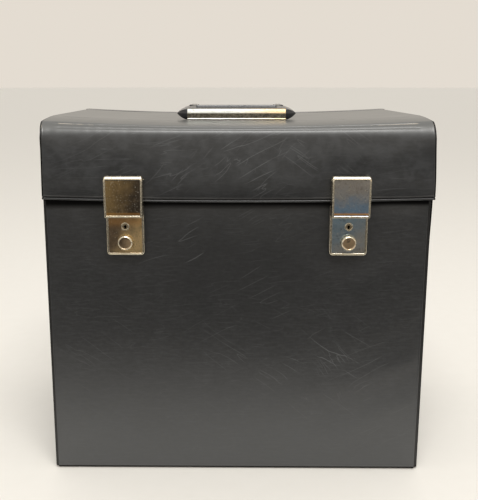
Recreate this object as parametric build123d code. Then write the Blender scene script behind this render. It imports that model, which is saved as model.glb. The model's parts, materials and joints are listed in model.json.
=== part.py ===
from build123d import *
from math import asin, cos, degrees, pi, sin, sqrt
import os

# Record carrying case: millboard panels welded between vinyl cover and liner, with a lid
# on a vinyl hinge, a folding handle and two push-button hasp locks.
# Millimetres. The origin is the middle of the base, +Z is up and the front faces -Y.

# ---------------------------------------------------------------- driving dimensions
# Body
body_width = 334.0             # over the side covers
body_depth = 200.0             # over the front and back covers
case_height = 332.7            # ground to the lid's top, at its left and right edges
cover_thickness = 0.8          # embossed vinyl
board_thickness = 2.4          # body panels
liner_thickness = 0.5
fold_radius = 4.0              # bottom edges, where the cover folds round the boards
body_flange = 4.5              # welded edge that stands out beyond the side covers
bead_thickness = 2.0           # strip welded behind that edge
rim_height = 2.5               # weld strip that closes the top of the walls
rim_gap = 0.7                  # front wall's rim to the lid's lining at mid width
fold_gap = 0.3                 # between boards that meet at a fold
least_fold_radius = 0.4        # of the innermost layer

# Lid
lid_side_gap = 0.5             # lid lining to body side
lid_front_gap = 0.8            # lid lining to body front
lid_board_thickness = 2.2      # top and front
lid_side_board_thickness = 1.4
lid_side_cover_thickness = 0.6
lid_flange = 2.5               # welded edge that stands out beyond the lid's sides
lid_bead_thickness = 1.5
lid_hem_height = 2.5           # weld strip along the lower edge
lid_skirt = 71.2               # top to lower edge, at the ends
lid_sag = 4.7                  # how far the top has sunk at mid width
hem_sag = 2.7                  # the same for the lower front edge
hem_overrun = 5.0              # the lower edge's bow ends this far past the lid's sides
lid_slope_start = 50.0         # behind the front face, where the top starts to fall
lid_slope_radius = 300.0
lid_nose_radius = 10.0         # rounded front edge
weld_line_back = 23.3          # behind the front face: back weld line of the front strip
weld_line_front = 5.3          # and its front weld line
weld_gap = 0.6                 # between boards along a weld line
groove_radius = 1.0
groove_depth = 0.4
hinge_gap = 0.3                # lid's back edge to the hinge strip
hinge_drop = 0.4               # hinge line below the top of the strip
skirt_clearance = 2.0          # body flange ends this far below the lid's lower edge
lid_max_angle = 250.0

# Hasps, on the lid's front
latch_spacing = 197.0          # centre to centre
hasp_width = 34.0
hasp_height = 35.3
hasp_rise = 22.0               # top above the lid's lower edge
hasp_depth = 9.4               # front of the hasp beyond the lid's front
hasp_wall = 1.0
hasp_roll_radius = 3.8         # rolled top edge, about the pin
hasp_max_angle = 90.0
hasp_edge_radius = 1.2
hasp_dish_inset = 2.0
hasp_dish_depth = 0.3
hasp_back_gap = 0.7            # hasp's back edge to the lid's front
hasp_cheek_rise = 1.5          # cheek's upper back corner above the pin
hasp_base_thickness = 1.2
hasp_base_height = 12.0
hasp_ear_gap = 0.3             # ear to hasp cheek
hasp_ear_radius = 2.5
hasp_ear_root = 7.7            # ear's upper root below the pin
hasp_pin_radius = 1.1
hasp_pin_clearance = 0.05
hasp_rivet_spacing = 16.0
hasp_rivet_drop = 11.5         # below the pin
hook_width = 8.0
hook_thickness = 1.5
hook_lip = 1.6                 # lip's depth below the arm
hook_foot_height = 6.0
hook_arm_rise = 4.8            # arm's underside above the hasp's lower edge

# Locks, on the body's front
lock_width = 34.5
lock_height = 45.0
lock_drop = 4.5                # top below the lid's lower edge
lock_depth = 4.7               # front of the lock plate beyond the body's front
lock_wall = 0.8
lock_corner_radius = 2.5
lock_edge_radius = 0.7
lock_dish_inset = 1.8
lock_dish_depth = 0.3
lock_case_width = 24.0         # sunk box behind the plate
lock_case_height = 41.2
lock_case_wall = 0.5
lock_case_clearance = 0.2      # box in the cut-out of the board
lock_rivet_spacing = 28.4
lock_rivet_rise = 30.0         # lower pair of rivets to upper pair
button_rise = 11.1             # above the lock plate's lower edge
button_radius = 6.3
button_clearance = 0.2
button_end_play = 0.1          # plate to the button's flange
button_proud = 4.2
button_travel = 2.6
button_flange_radius = 7.5
button_flange_thickness = 0.7
button_dish_radius = 4.4
button_dish_depth = 0.5
button_edge_radius = 1.2
cone_radius = 2.8              # 45 degree cone, at the front of the catch plate
cone_reach = 0.3               # cone's tip past that face
cone_clearance = 0.1
cone_hole_margin = 0.7         # hole behind the cone, beyond its radius
catch_thickness = 1.2
catch_side_clearance = 0.3
catch_foot_width = 16.0
catch_foot_clearance = 0.5     # left under the catch when the button is pressed
catch_arm_rise = 14.0          # underside of the arms on the springs, above the same edge
catch_hook_gap = 0.3
spring_radius = 1.3
spring_wire = 0.45
spring_turns = 7
spring_end_gap = 0.1
key_window_web = 1.1           # between the cone's hole and the cam's window in the catch
key_drum_radius = 2.6
key_drum_clearance = 0.08
key_ring_radius = 3.6
key_ring_height = 0.4
key_drum_recess = 0.2          # drum's face below the ring
keyhole_radius = 1.3
keyhole_slot_width = 1.2
keyhole_slot_reach = 2.2
key_drum_floor = 2.2           # solid of the drum behind the keyhole
key_hub_radius = 2.2
key_lobe_radius = 4.8
key_lobe_width = 3.0
key_window_clearance = 0.3
key_post_radius = 0.8
key_post_clearance = 0.05
key_turn_angle = 90.0

# Handle, on the lid's top
handle_pivot_back = 95.0       # pivot line behind the lid's front
handle_pivot_height = 9.5      # above the lid's top at mid width
handle_reach = 45.5            # pivot line to the outer face, folded flat
handle_grip_depth = 22.0       # front to back, folded flat
handle_grip_thickness = 10.2
handle_grip_rise = 3.3         # grip's middle above the pivot line, before it is tipped
handle_drop_angle = 9.0        # folded handle's fall towards the front
handle_length = 112.0          # tip to tip
handle_front_length = 97.0     # flat outer face
handle_back_length = 88.0      # inner face
handle_tip_back = 7.0          # tips behind the outer face
handle_tip_blunt = 2.0         # half the depth of each blunt tip
handle_edge_radius = 2.6
handle_dish_depth = 1.5
handle_dish_inset = 3.0
handle_leg_thickness = 5.0
handle_leg_depth = 7.5
handle_boss_radius = 4.2
handle_hole_clearance = 0.06
handle_max_angle = 187.0
trim_thickness = 0.6
trim_wrap = 3.2                # strip's folds over the grip's edges
trim_chamfer_depth = 2.4
trim_chamfer_height = 3.2
trim_bevel_shift = 0.4         # inner bevel line's shift for each mm of thickness
bracket_gap = 0.4              # ear to handle leg
bracket_ear_thickness = 1.5
bracket_ear_radius = 3.6
bracket_base_thickness = 1.2
bracket_base_length = 22.0     # front to back
bracket_base_width = 20.0
handle_pin_radius = 1.9
handle_pin_head_radius = 3.0
handle_pin_head_thickness = 0.8
handle_pin_end_play = 0.1
handle_rivet_spacing = 15.0
backing_length = 118.0
backing_width = 24.0
backing_thickness = 1.2

# Rivets
head_bevel = 0.4               # share of a head's height that is bevelled
rivet_clearance = 0.1
small_shank_radius = 1.2
small_head_radius = 2.1
small_head_height = 0.8
large_shank_radius = 1.8
large_head_radius = 3.2
large_head_height = 1.2
rivet_tail_radius = 3.0
rivet_tail_height = 0.5

# ---------------------------------------------------------------- derived places
body_half = body_width / 2
body_flange_half = body_half + body_flange
body_front = -body_depth / 2
body_back = body_depth / 2
wall = cover_thickness + board_thickness + liner_thickness
lid_wall = cover_thickness + lid_board_thickness + liner_thickness
lid_middle = case_height - lid_sag
lid_bottom = case_height - lid_skirt
flange_top = lid_bottom - skirt_clearance

lid_inner_half = body_half + lid_side_gap
lid_board_half = lid_inner_half + liner_thickness + lid_side_board_thickness
lid_half = lid_board_half + lid_side_cover_thickness
lid_flange_half = lid_half + lid_flange
lid_front = body_front - lid_front_gap - lid_wall
slope_centre_z = lid_middle - lid_slope_radius
slope_start_y = lid_front + lid_slope_start
slope_angle = asin((lid_slope_start - lid_nose_radius) / (lid_slope_radius - lid_nose_radius))
nose_centre_y = lid_front + lid_nose_radius
nose_centre_z = slope_centre_z + (lid_slope_radius - lid_nose_radius) * cos(slope_angle)
nose_room = sqrt((lid_nose_radius - lid_wall) ** 2 - (nose_centre_y - body_front) ** 2)
body_top = nose_centre_z + nose_room - rim_gap
lid_back = body_back - cover_thickness - hinge_gap
hinge_line_y = body_back - cover_thickness / 2
hinge_line_z = case_height - hinge_drop
sag_radius = (lid_flange_half**2 + lid_sag**2) / (2 * lid_sag)
sag_axis = Axis((0, 0, lid_middle + sag_radius), (0, 1, 0))

cut_reach = 30.0               # how far cutting shapes run past the case
far = body_width + case_height

hasp_top = lid_bottom + hasp_rise
hasp_front = lid_front - hasp_depth
hasp_back = lid_front - hasp_back_gap
hasp_bottom = hasp_top - hasp_height
hasp_pin_y = hasp_front + hasp_roll_radius
hasp_pin_z = hasp_top - hasp_roll_radius
lock_front = body_front - lock_depth
lock_inside = lock_front + lock_wall
lock_top = lid_bottom - lock_drop
lock_bottom = lock_top - lock_height
lock_floor = body_front + cover_thickness + board_thickness
lock_floor_inside = lock_floor - lock_case_wall
lock_case_bottom = lock_bottom + (lock_height - lock_case_height) / 2
lock_case_top = lock_case_bottom + lock_case_height
button_height = lock_bottom + button_rise
cone_hole_radius = cone_radius + cone_clearance + button_travel
cam_window = key_lobe_radius + key_window_clearance
key_height = button_height + button_travel + cone_hole_radius + key_window_web + cam_window
catch_arm_height = lock_bottom + catch_arm_rise
catch_front = body_front
catch_back = catch_front + catch_thickness
hook_end = lock_floor_inside - cone_reach
handle_pivot_y = lid_front + handle_pivot_back
handle_pivot_z = lid_middle + handle_pivot_height


# ---------------------------------------------------------------- shared shapes
def block(x_low, x_high, y_low, y_high, z_low, z_high):
    """A box between two corners."""
    centre = Pos((x_low + x_high) / 2, (y_low + y_high) / 2, (z_low + z_high) / 2)
    return centre * Box(x_high - x_low, y_high - y_low, z_high - z_low)


def rod_along_y(x, z, y_low, y_high, radius):
    """A cylinder whose axis runs front to back."""
    return Pos(x, (y_low + y_high) / 2, z) * Rot(90, 0, 0) * Cylinder(radius, y_high - y_low)


def rod_along_x(y, z, x_low, x_high, radius):
    """A cylinder whose axis runs left to right."""
    return Pos((x_low + x_high) / 2, y, z) * Rot(0, 90, 0) * Cylinder(radius, x_high - x_low)


def rod_along_z(x, y, z_low, z_high, radius):
    """An upright cylinder."""
    return Pos(x, y, (z_low + z_high) / 2) * Cylinder(radius, z_high - z_low)


def side_point(y, z):
    """A point of a side view, in the plane X = 0."""
    return Vector(0, y, z)


def front_rivet(x, z, head_face, tail_face, shank_radius, head_radius, head_height):
    """A rivet through a front wall: domed head outside, flat tail inside."""
    head = rod_along_y(x, z, head_face - head_height, head_face, head_radius)
    head = chamfer(head.edges().group_by(Axis.Y)[0], head_height * head_bevel)
    shank = rod_along_y(x, z, head_face - head_height / 2, tail_face, shank_radius)
    tail_half = rivet_tail_height / 2
    tail = rod_along_y(x, z, tail_face - tail_half, tail_face + tail_half, shank_radius)
    return head + shank + tail


def save(shape, node):
    """Write one node's solids."""
    export_step(shape, "parts/" + node + ".step")
    print(node, len(shape.solids()), round(shape.volume, 1))


# ---------------------------------------------------------------- body
def body_form(half_width, depth, top):
    """The body's outside taken in by depth: upright walls and rounded bottom edges."""
    form = block(-half_width, half_width, body_front + depth, body_back - depth, depth, top)
    bottom_edges = form.edges().filter_by(Axis.X).group_by(Axis.Z)[0]
    return fillet(bottom_edges, max(fold_radius - depth, least_fold_radius))


def lock_cutout(centre, clearance, y_low, y_high):
    """The space that a lock's sunk box takes in the front wall."""
    half = lock_case_width / 2 + clearance
    return block(
        centre - half, centre + half, y_low, y_high,
        lock_case_bottom - clearance, lock_case_top + clearance,
    )


def lock_rivet_places(centre):
    """Centres (x, z) of the four rivets of one lock."""
    middle = (lock_bottom + lock_top) / 2
    places = []
    for side in (-1, 1):
        for level in (-1, 1):
            places.append((centre + side * lock_rivet_spacing / 2, middle + level * lock_rivet_rise / 2))
    return places


def drilled_for_locks(wall_piece, with_cutout):
    """A layer of the front wall with the locks' cut-outs and rivet holes."""
    radius = small_shank_radius + rivet_clearance
    for centre in latch_centres:
        if with_cutout:
            wall_piece -= lock_cutout(centre, lock_case_clearance, body_front - 1, lock_floor)
        for x, z in lock_rivet_places(centre):
            wall_piece -= rod_along_y(x, z, body_front - 1, body_front + wall + 1, radius)
    return wall_piece


def body_cover():
    """One sheet folded round the front, the bottom and the back, with its side flanges."""
    sheet = body_form(body_flange_half, 0, body_top)
    sheet -= body_form(body_flange_half + 1, cover_thickness, body_top + 1)
    for side in (-1, 1):
        outer = side * (body_flange_half + 1)
        low, high = sorted((side * body_half, outer))
        sheet -= block(low, high, body_front - 1, body_back + 1, flange_top, body_top + 1)
    return drilled_for_locks(sheet, True)


def body_side_cover(side):
    """Flat sheet over one side, tucked behind the folded cover."""
    plate = body_form(body_half, cover_thickness, body_top)
    return plate & side_band(side, body_half - cover_thickness, body_half)


def side_band(side, inner, outer):
    """Tall slab on one side between two distances from the middle."""
    low, high = sorted((side * inner, side * outer))
    return block(low, high, lid_front - cut_reach, body_back + cut_reach, -cut_reach, case_height + cut_reach)


def body_bead(side):
    """Weld strip behind the flange along the front, bottom and back edges."""
    strip = body_form(body_flange_half, cover_thickness, flange_top)
    strip -= body_form(body_flange_half + 1, cover_thickness + bead_thickness, flange_top + 1)
    return strip & side_band(side, body_half, body_flange_half)


board_outside = cover_thickness
board_inside = cover_thickness + board_thickness
board_top = body_top - rim_height - fold_gap


def body_front_board():
    """Front millboard with the locks' cut-outs."""
    half = body_half - cover_thickness
    panel = block(
        -half, half, body_front + board_outside, body_front + board_inside,
        fold_radius, board_top,
    )
    return drilled_for_locks(panel, True)


def body_back_board():
    """Back millboard."""
    half = body_half - cover_thickness
    return block(
        -half, half, body_back - board_inside, body_back - board_outside,
        fold_radius, board_top,
    )


def body_bottom_board():
    """Bottom millboard, inside the folds."""
    half = body_half - cover_thickness
    return block(
        -half, half, body_front + fold_radius, body_back - fold_radius,
        board_outside, board_inside,
    )


def body_side_board(side):
    """Side millboard, between the front and back boards."""
    panel = block(
        -body_half, body_half, body_front + board_inside + fold_gap, body_back - board_inside - fold_gap,
        board_inside + fold_gap, board_top,
    )
    return panel & side_band(side, body_half - board_inside, body_half - board_outside)


def body_liner():
    """Thin lining tub inside the boards."""
    outer = body_half - board_inside
    inner = outer - liner_thickness
    tub = block(
        -outer, outer, body_front + board_inside, body_back - board_inside,
        board_inside, body_top,
    )
    tub -= block(-inner, inner, body_front + wall, body_back - wall, wall, body_top + 1)
    return drilled_for_locks(tub, False)


def body_rim():
    """Weld strip that closes the walls' top edge all round."""
    outer = body_half - board_outside
    inner = body_half - board_inside
    ring = block(
        -outer, outer, body_front + board_outside, body_back - board_outside,
        body_top - rim_height, body_top,
    )
    ring -= block(
        -inner, inner, body_front + board_inside, body_back - board_inside,
        body_top - rim_height - 1, body_top + 1,
    )
    return ring


# ---------------------------------------------------------------- lid
def slope_point(angle, depth):
    """A point of the top's falling stretch, taken in by depth."""
    radius = lid_slope_radius - depth
    return side_point(slope_start_y - radius * sin(angle), slope_centre_z + radius * cos(angle))


def nose_point(angle, depth):
    """A point of the rounded front edge, at an angle from straight up, taken in by depth."""
    radius = lid_nose_radius - depth
    return side_point(nose_centre_y - radius * sin(angle), nose_centre_z + radius * cos(angle))


def lid_side_view(depth):
    """The lid's side view taken in by depth: level top, falling stretch, nose and front."""
    low = lid_bottom - cut_reach
    top = lid_middle - depth
    middle_angle = (slope_angle + pi / 2) / 2
    outline = Line(side_point(lid_back, low), side_point(lid_back, top))
    outline += Line(side_point(lid_back, top), slope_point(0, depth))
    outline += ThreePointArc(
        slope_point(0, depth), slope_point(slope_angle / 2, depth), slope_point(slope_angle, depth),
    )
    outline += ThreePointArc(
        nose_point(slope_angle, depth), nose_point(middle_angle, depth), nose_point(pi / 2, depth),
    )
    outline += Line(nose_point(pi / 2, depth), side_point(lid_front + depth, low))
    outline += Line(side_point(lid_front + depth, low), side_point(lid_back, low))
    return make_face(outline)


def sagged(face):
    """Carry a side view left and right along the lid's shallow sag."""
    reach = degrees(asin((lid_flange_half + cut_reach) / sag_radius))
    return revolve(face.rotate(sag_axis, -reach), sag_axis, 2 * reach)


def above_hem(rise):
    """Everything above the lid's lower edge, raised by rise; the edge bows down at mid width."""
    level = lid_bottom + rise
    half = lid_flange_half + hem_overrun
    outline = ThreePointArc((-half, 0, level), (0, 0, level - hem_sag), (half, 0, level))
    outline += Line((half, 0, level), (half, 0, case_height + cut_reach))
    outline += Line((half, 0, case_height + cut_reach), (-half, 0, case_height + cut_reach))
    outline += Line((-half, 0, case_height + cut_reach), (-half, 0, level))
    region = extrude(make_face(outline), amount=body_depth + 3 * cut_reach, dir=(0, 1, 0))
    return Pos(0, lid_front - cut_reach, 0) * region


def lid_form(half_width, depth):
    """The lid's outside taken in by depth and cut to a half width, open at the hem."""
    form = sagged(lid_side_view(depth)) & above_hem(0)
    front = lid_front - cut_reach
    back = body_back + cut_reach
    return form & block(-half_width, half_width, front, back, 0, case_height + cut_reach)


def lid_layer(half_width, outer_depth, inner_depth):
    """The top and front layer between two depths."""
    return lid_form(half_width, outer_depth) - lid_form(half_width + 1, inner_depth)


def weld_groove(behind_front):
    """The groove tool of one weld line across the lid."""
    y = lid_front + behind_front
    if behind_front < lid_nose_radius:
        angle = asin((nose_centre_y - y) / lid_nose_radius)
        centre = nose_point(angle, groove_depth - groove_radius)
    else:
        angle = asin((slope_start_y - y) / lid_slope_radius)
        centre = slope_point(angle, groove_depth - groove_radius)
    section = Plane(origin=centre, x_dir=(0, 1, 0), z_dir=(1, 0, 0)) * Circle(groove_radius)
    return sagged(section)


def hasp_rivet_places(centre):
    """Centres (x, z) of the two rivets of one hasp base."""
    level = hasp_pin_z - hasp_rivet_drop
    return [(centre - hasp_rivet_spacing / 2, level), (centre + hasp_rivet_spacing / 2, level)]


def handle_rivet_places():
    """Centres (x, y) of the handle brackets' rivets."""
    places = []
    for side in (-1, 1):
        for step in (-1, 1):
            places.append((side * handle_leg_x, handle_pivot_y + step * handle_rivet_spacing / 2))
    return places


def drilled_front(piece, radius):
    """Lid front layer with the hasps' rivet holes."""
    for centre in latch_centres:
        for x, z in hasp_rivet_places(centre):
            piece -= rod_along_y(x, z, lid_front - 1, body_front, radius)
    return piece


def drilled_top(piece):
    """Lid top layer with the handle's rivet holes."""
    for x, y in handle_rivet_places():
        radius = large_shank_radius + rivet_clearance
        piece -= rod_along_z(x, y, lid_middle - cut_reach, lid_middle + cut_reach, radius)
    return piece


def lid_cover():
    """One sheet over the top and the front, with two pressed weld lines and side flanges."""
    sheet = lid_layer(lid_flange_half, 0, cover_thickness)
    sheet -= weld_groove(weld_line_back)
    sheet -= weld_groove(weld_line_front)
    return drilled_top(drilled_front(sheet, large_shank_radius + rivet_clearance))


lid_board_depth = cover_thickness + lid_board_thickness


def lid_board_layer():
    """The space of the top and front boards, clear of the hem strip."""
    return lid_layer(lid_board_half, cover_thickness, lid_board_depth) & above_hem(lid_hem_height + fold_gap)


def behind(behind_front, low, high):
    """Everything between two distances behind the lid's front."""
    return block(-far, far, lid_front + behind_front + low, lid_front + behind_front + high, 0, far)


def lid_top_board(layer):
    """Top millboard, behind the back weld line."""
    return drilled_top(layer & behind(weld_line_back, weld_gap / 2, far))


def lid_edge_strip(layer):
    """Narrow curved strip between the two weld lines."""
    width = weld_line_back - weld_line_front
    return layer & behind(weld_line_front, weld_gap / 2, width - weld_gap / 2)


def lid_front_board(layer):
    """Front millboard, below the front weld line."""
    board = layer & behind(weld_line_front, -far, -weld_gap / 2)
    return drilled_front(board, large_shank_radius + rivet_clearance)


def lid_side_cover(side):
    """Sheet over one side of the lid."""
    return lid_form(lid_half, cover_thickness) & side_band(side, lid_board_half, lid_half)


def lid_side_board(side):
    """Side millboard of the lid, clear of the hem strip."""
    inner = lid_inner_half + liner_thickness
    panel = lid_form(lid_board_half, lid_board_depth + fold_gap) & above_hem(lid_hem_height + fold_gap)
    return panel & side_band(side, inner, lid_board_half)


def lid_liner():
    """Thin lining tray inside the lid, open at the back."""
    tray = lid_form(lid_inner_half + liner_thickness, lid_board_depth)
    tray -= lid_form(lid_inner_half, lid_wall)
    return drilled_top(drilled_front(tray, rivet_tail_radius + rivet_clearance))


def lid_hem():
    """Weld strip that closes the lower edge of the front and the sides."""
    inner = lid_inner_half + liner_thickness
    strip = lid_form(lid_board_half, cover_thickness) - lid_form(inner, lid_board_depth)
    return strip - above_hem(lid_hem_height)


def lid_bead(side):
    """Weld strip under the flange along the top and the front of one side."""
    strip = lid_layer(lid_flange_half, cover_thickness, cover_thickness + lid_bead_thickness)
    return strip & side_band(side, lid_half, lid_flange_half)


def hinge_strip():
    """Flexible strip of the cover that joins the back to the lid's top."""
    half = lid_flange_half
    outline = Line((-half, 0, body_top), (half, 0, body_top))
    outline += Line((half, 0, body_top), (half, 0, case_height))
    outline += ThreePointArc((half, 0, case_height), (0, 0, lid_middle), (-half, 0, case_height))
    outline += Line((-half, 0, case_height), (-half, 0, body_top))
    sheet = extrude(make_face(outline), amount=cover_thickness, dir=(0, 1, 0))
    return Pos(0, body_back - cover_thickness, 0) * sheet


# ---------------------------------------------------------------- hasps
latch_centres = (-latch_spacing / 2, latch_spacing / 2)
ear_outer = hasp_width / 2 - hasp_wall - hasp_ear_gap


def hasp_base(centre):
    """Plate riveted to the lid, with two ears bent forward to the pin."""
    top = hasp_pin_z - hasp_ear_root
    plate = block(
        centre - ear_outer, centre + ear_outer, lid_front - hasp_base_thickness, lid_front,
        top - hasp_base_height, top,
    )
    root_low = hasp_pin_z - hasp_ear_root - hasp_base_height / 2
    for side in (-1, 1):
        low, high = sorted((centre + side * ear_outer, centre + side * (ear_outer - hasp_base_thickness)))
        boss = rod_along_x(hasp_pin_y, hasp_pin_z, low, high, hasp_ear_radius)
        web = Polyline(
            (low, lid_front, top), (low, hasp_pin_y + hasp_ear_radius, hasp_pin_z),
            (low, hasp_pin_y - hasp_ear_radius, hasp_pin_z), (low, lid_front - hasp_base_thickness, root_low),
            (low, lid_front, root_low), close=True,
        )
        plate += boss + extrude(make_face(web), amount=high - low, dir=(1, 0, 0))
    plate -= rod_along_x(hasp_pin_y, hasp_pin_z, centre - hasp_width, centre + hasp_width, hasp_pin_radius)
    for x, z in hasp_rivet_places(centre):
        radius = large_shank_radius + rivet_clearance
        plate -= rod_along_y(x, z, lid_front - cut_reach, lid_front + 1, radius)
    return plate


def hasp_side_view(inset):
    """Side view of the hasp: upright front, rolled top and sloping cheek."""
    front = hasp_front + inset
    roll = hasp_roll_radius - inset
    low = hasp_bottom + inset
    cheek_z = hasp_pin_z + hasp_cheek_rise - inset
    half_turn = sqrt(0.5) * roll
    outline = Line(side_point(hasp_back, low), side_point(front, low))
    outline += Line(side_point(front, low), side_point(front, hasp_pin_z))
    outline += ThreePointArc(
        side_point(front, hasp_pin_z),
        side_point(hasp_pin_y - half_turn, hasp_pin_z + half_turn),
        side_point(hasp_pin_y, hasp_pin_z + roll),
    )
    outline += Line(side_point(hasp_pin_y, hasp_pin_z + roll), side_point(hasp_back, cheek_z))
    outline += Line(side_point(hasp_back, cheek_z), side_point(hasp_back, low))
    return make_face(outline)


def hasp_cover(centre):
    """Pressed cover that swings up: shallow box, open behind, with a rolled top edge."""
    half = hasp_width / 2
    body = Pos(centre - half, 0, 0) * extrude(hasp_side_view(0), amount=hasp_width, dir=(1, 0, 0))
    ends = body.faces().sort_by(Axis.X)
    rim = ends[0].edges() + ends[-1].edges()
    rounded = [edge for edge in rim if edge.center().Y < hasp_back - hasp_back_gap / 2]
    rounded += body.faces().sort_by(Axis.Y)[0].edges().filter_by(Axis.X).sort_by(Axis.Z)[:1]
    body = fillet(rounded, hasp_edge_radius)
    inner = half - hasp_wall
    space = extrude(hasp_side_view(hasp_wall), amount=2 * inner, dir=(1, 0, 0))
    body -= Pos(centre - inner, 0, 0) * space
    body -= block(
        centre - inner, centre + inner, hasp_pin_y, hasp_back + 1,
        hasp_pin_z - hasp_roll_radius, hasp_top + 1,
    )
    dish = half - hasp_dish_inset
    body -= block(
        centre - dish, centre + dish, hasp_front - 1, hasp_front + hasp_dish_depth,
        hasp_bottom + hasp_dish_inset, hasp_pin_z - hasp_dish_inset / 2,
    )
    hole = rod_along_x(hasp_pin_y, hasp_pin_z, centre - hasp_width, centre + hasp_width, hasp_pin_radius)
    return body - hole


def hasp_pin(centre):
    """Hinge pin through the cheeks and the base's ears."""
    half = hasp_width / 2
    radius = hasp_pin_radius - hasp_pin_clearance
    return rod_along_x(hasp_pin_y, hasp_pin_z, centre - half, centre + half, radius)


hook_arm_low = hasp_bottom + hook_arm_rise
hook_arm_high = hook_arm_low + hook_thickness


def hasp_hook(centre):
    """Hook welded behind the hasp: foot, arm through the lock plate and downward lip."""
    half = hook_width / 2
    inside = hasp_front + hasp_wall
    hook = block(
        centre - half, centre + half, inside, inside + hasp_wall,
        hook_arm_high - hook_foot_height + 1, hook_arm_high + 1,
    )
    hook += block(centre - half, centre + half, inside, hook_end, hook_arm_low, hook_arm_high)
    hook += block(
        centre - half, centre + half, catch_back + catch_hook_gap, hook_end,
        hook_arm_low - hook_lip, hook_arm_low,
    )
    return hook


# ---------------------------------------------------------------- locks
def swing_low(radius, away):
    """How far below the hasp pin a point on a circle lies, at a distance from its upright."""
    return sqrt(radius**2 - away**2)


lip_radius = sqrt((hook_end - hasp_pin_y) ** 2 + (hasp_pin_z - hook_arm_low + hook_lip) ** 2)


def lock_plate(centre):
    """Pressed front plate of the lock: shallow pan, dished face, slot, button hole and keyhole ring."""
    half = lock_width / 2
    pan = block(centre - half, centre + half, lock_front, body_front, lock_bottom, lock_top)
    pan = fillet(pan.edges().filter_by(Axis.Y), lock_corner_radius)
    pan = fillet(pan.faces().sort_by(Axis.Y)[0].edges(), lock_edge_radius)
    hollow = block(
        centre - half + lock_wall, centre + half - lock_wall, lock_inside, body_front + 1,
        lock_bottom + lock_wall, lock_top - lock_wall,
    )
    pan -= fillet(hollow.edges().filter_by(Axis.Y), lock_corner_radius - lock_wall)
    dish = half - lock_dish_inset
    face = block(
        centre - dish, centre + dish, lock_front - 1, lock_front + lock_dish_depth,
        lock_bottom + lock_dish_inset, lock_top - lock_dish_inset,
    )
    pan -= fillet(face.edges().filter_by(Axis.Y), lock_corner_radius - lock_wall)
    pan += rod_along_y(centre, key_height, lock_front - key_ring_height, lock_inside, key_ring_radius)
    front = lock_front - key_ring_height - 1
    pan -= rod_along_y(centre, key_height, front, lock_inside + 1, key_drum_radius + key_drum_clearance)
    pan -= rod_along_y(centre, button_height, front, lock_inside + 1, button_radius + button_clearance)
    slot_low = hasp_pin_z - swing_low(lip_radius, lock_front - hasp_pin_y) - catch_hook_gap
    slot_half = hook_width / 2 + catch_hook_gap
    return pan - block(
        centre - slot_half, centre + slot_half, lock_front - 1, lock_inside + 1,
        slot_low, hook_arm_high + catch_hook_gap,
    )


lock_inset = lock_wall + lock_case_clearance


def lock_case(centre):
    """Back of the lock: flange under the plate and a box sunk into the board."""
    half = lock_width / 2 - lock_inset
    case = block(
        centre - half, centre + half, body_front - lock_case_wall, body_front,
        lock_bottom + lock_inset, lock_top - lock_inset,
    )
    case = fillet(case.edges().filter_by(Axis.Y), lock_corner_radius - lock_wall)
    case += lock_cutout(centre, 0, body_front - lock_case_wall, lock_floor)
    case -= lock_cutout(centre, -lock_case_wall, body_front - 1, lock_floor_inside)
    hole = cone_radius + cone_hole_margin
    case -= rod_along_y(centre, button_height, lock_floor_inside - 1, lock_floor + 1, hole)
    for x, z in lock_rivet_places(centre):
        case -= rod_along_y(x, z, body_front - 1, body_front + 1, small_shank_radius + rivet_clearance)
    return case


def lock_button(centre):
    """Push button: dished head, retaining flange and 45 degree cone."""
    front = lock_front - button_proud
    flange_front = lock_inside + button_end_play
    flange_back = flange_front + button_flange_thickness
    head = rod_along_y(centre, button_height, front, flange_back, button_radius)
    head = fillet(head.edges().group_by(Axis.Y)[0], button_edge_radius)
    head -= rod_along_y(centre, button_height, front - 1, front + button_dish_depth, button_dish_radius)
    head += rod_along_y(centre, button_height, flange_front, flange_back, button_flange_radius)
    tip = catch_front + cone_reach
    length = tip - flange_back
    wide = cone_radius + catch_front - flange_back
    narrow = cone_radius - cone_reach
    cone = Cone(wide, narrow, length)
    return head + Pos(centre, (tip + flange_back) / 2, button_height) * Rot(-90, 0, 0) * cone


def lock_catch(centre):
    """Sliding catch plate: nose under the hook, window for the key's cam, hole for the cone."""
    arm_half = lock_case_width / 2 - lock_case_wall - catch_side_clearance
    foot_half = catch_foot_width / 2
    top = hook_arm_low - catch_hook_gap
    foot = lock_case_bottom + lock_case_wall + button_travel + catch_foot_clearance
    plate = block(centre - arm_half, centre + arm_half, catch_front, catch_back, catch_arm_height, top)
    plate += block(centre - foot_half, centre + foot_half, catch_front, catch_back, foot, catch_arm_height)
    hole_height = button_height + button_travel
    plate -= rod_along_y(centre, hole_height, catch_front - 1, catch_back + 1, cone_hole_radius)
    return plate - block(
        centre - cam_window, centre + cam_window, catch_front - 1, catch_back + 1,
        key_height - cam_window, key_height + cam_window + button_travel,
    )


def catch_springs(centre):
    """The catch's two return springs."""
    low = lock_case_bottom + lock_case_wall + spring_end_gap + spring_wire / 2
    high = catch_arm_height - spring_end_gap - spring_wire / 2
    radius = spring_radius - spring_wire / 2
    arm = (catch_foot_width / 2 + lock_case_width / 2 - lock_case_wall) / 2
    coil = Helix((high - low) / spring_turns, high - low, radius)
    section = Plane(origin=coil @ 0, z_dir=coil % 0) * Circle(spring_wire / 2)
    spring = sweep(section, coil)
    depth = (catch_front + catch_back) / 2
    pair = [Pos(centre + side * arm, depth, low) * spring for side in (-1, 1)]
    return Compound(children=pair)


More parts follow.
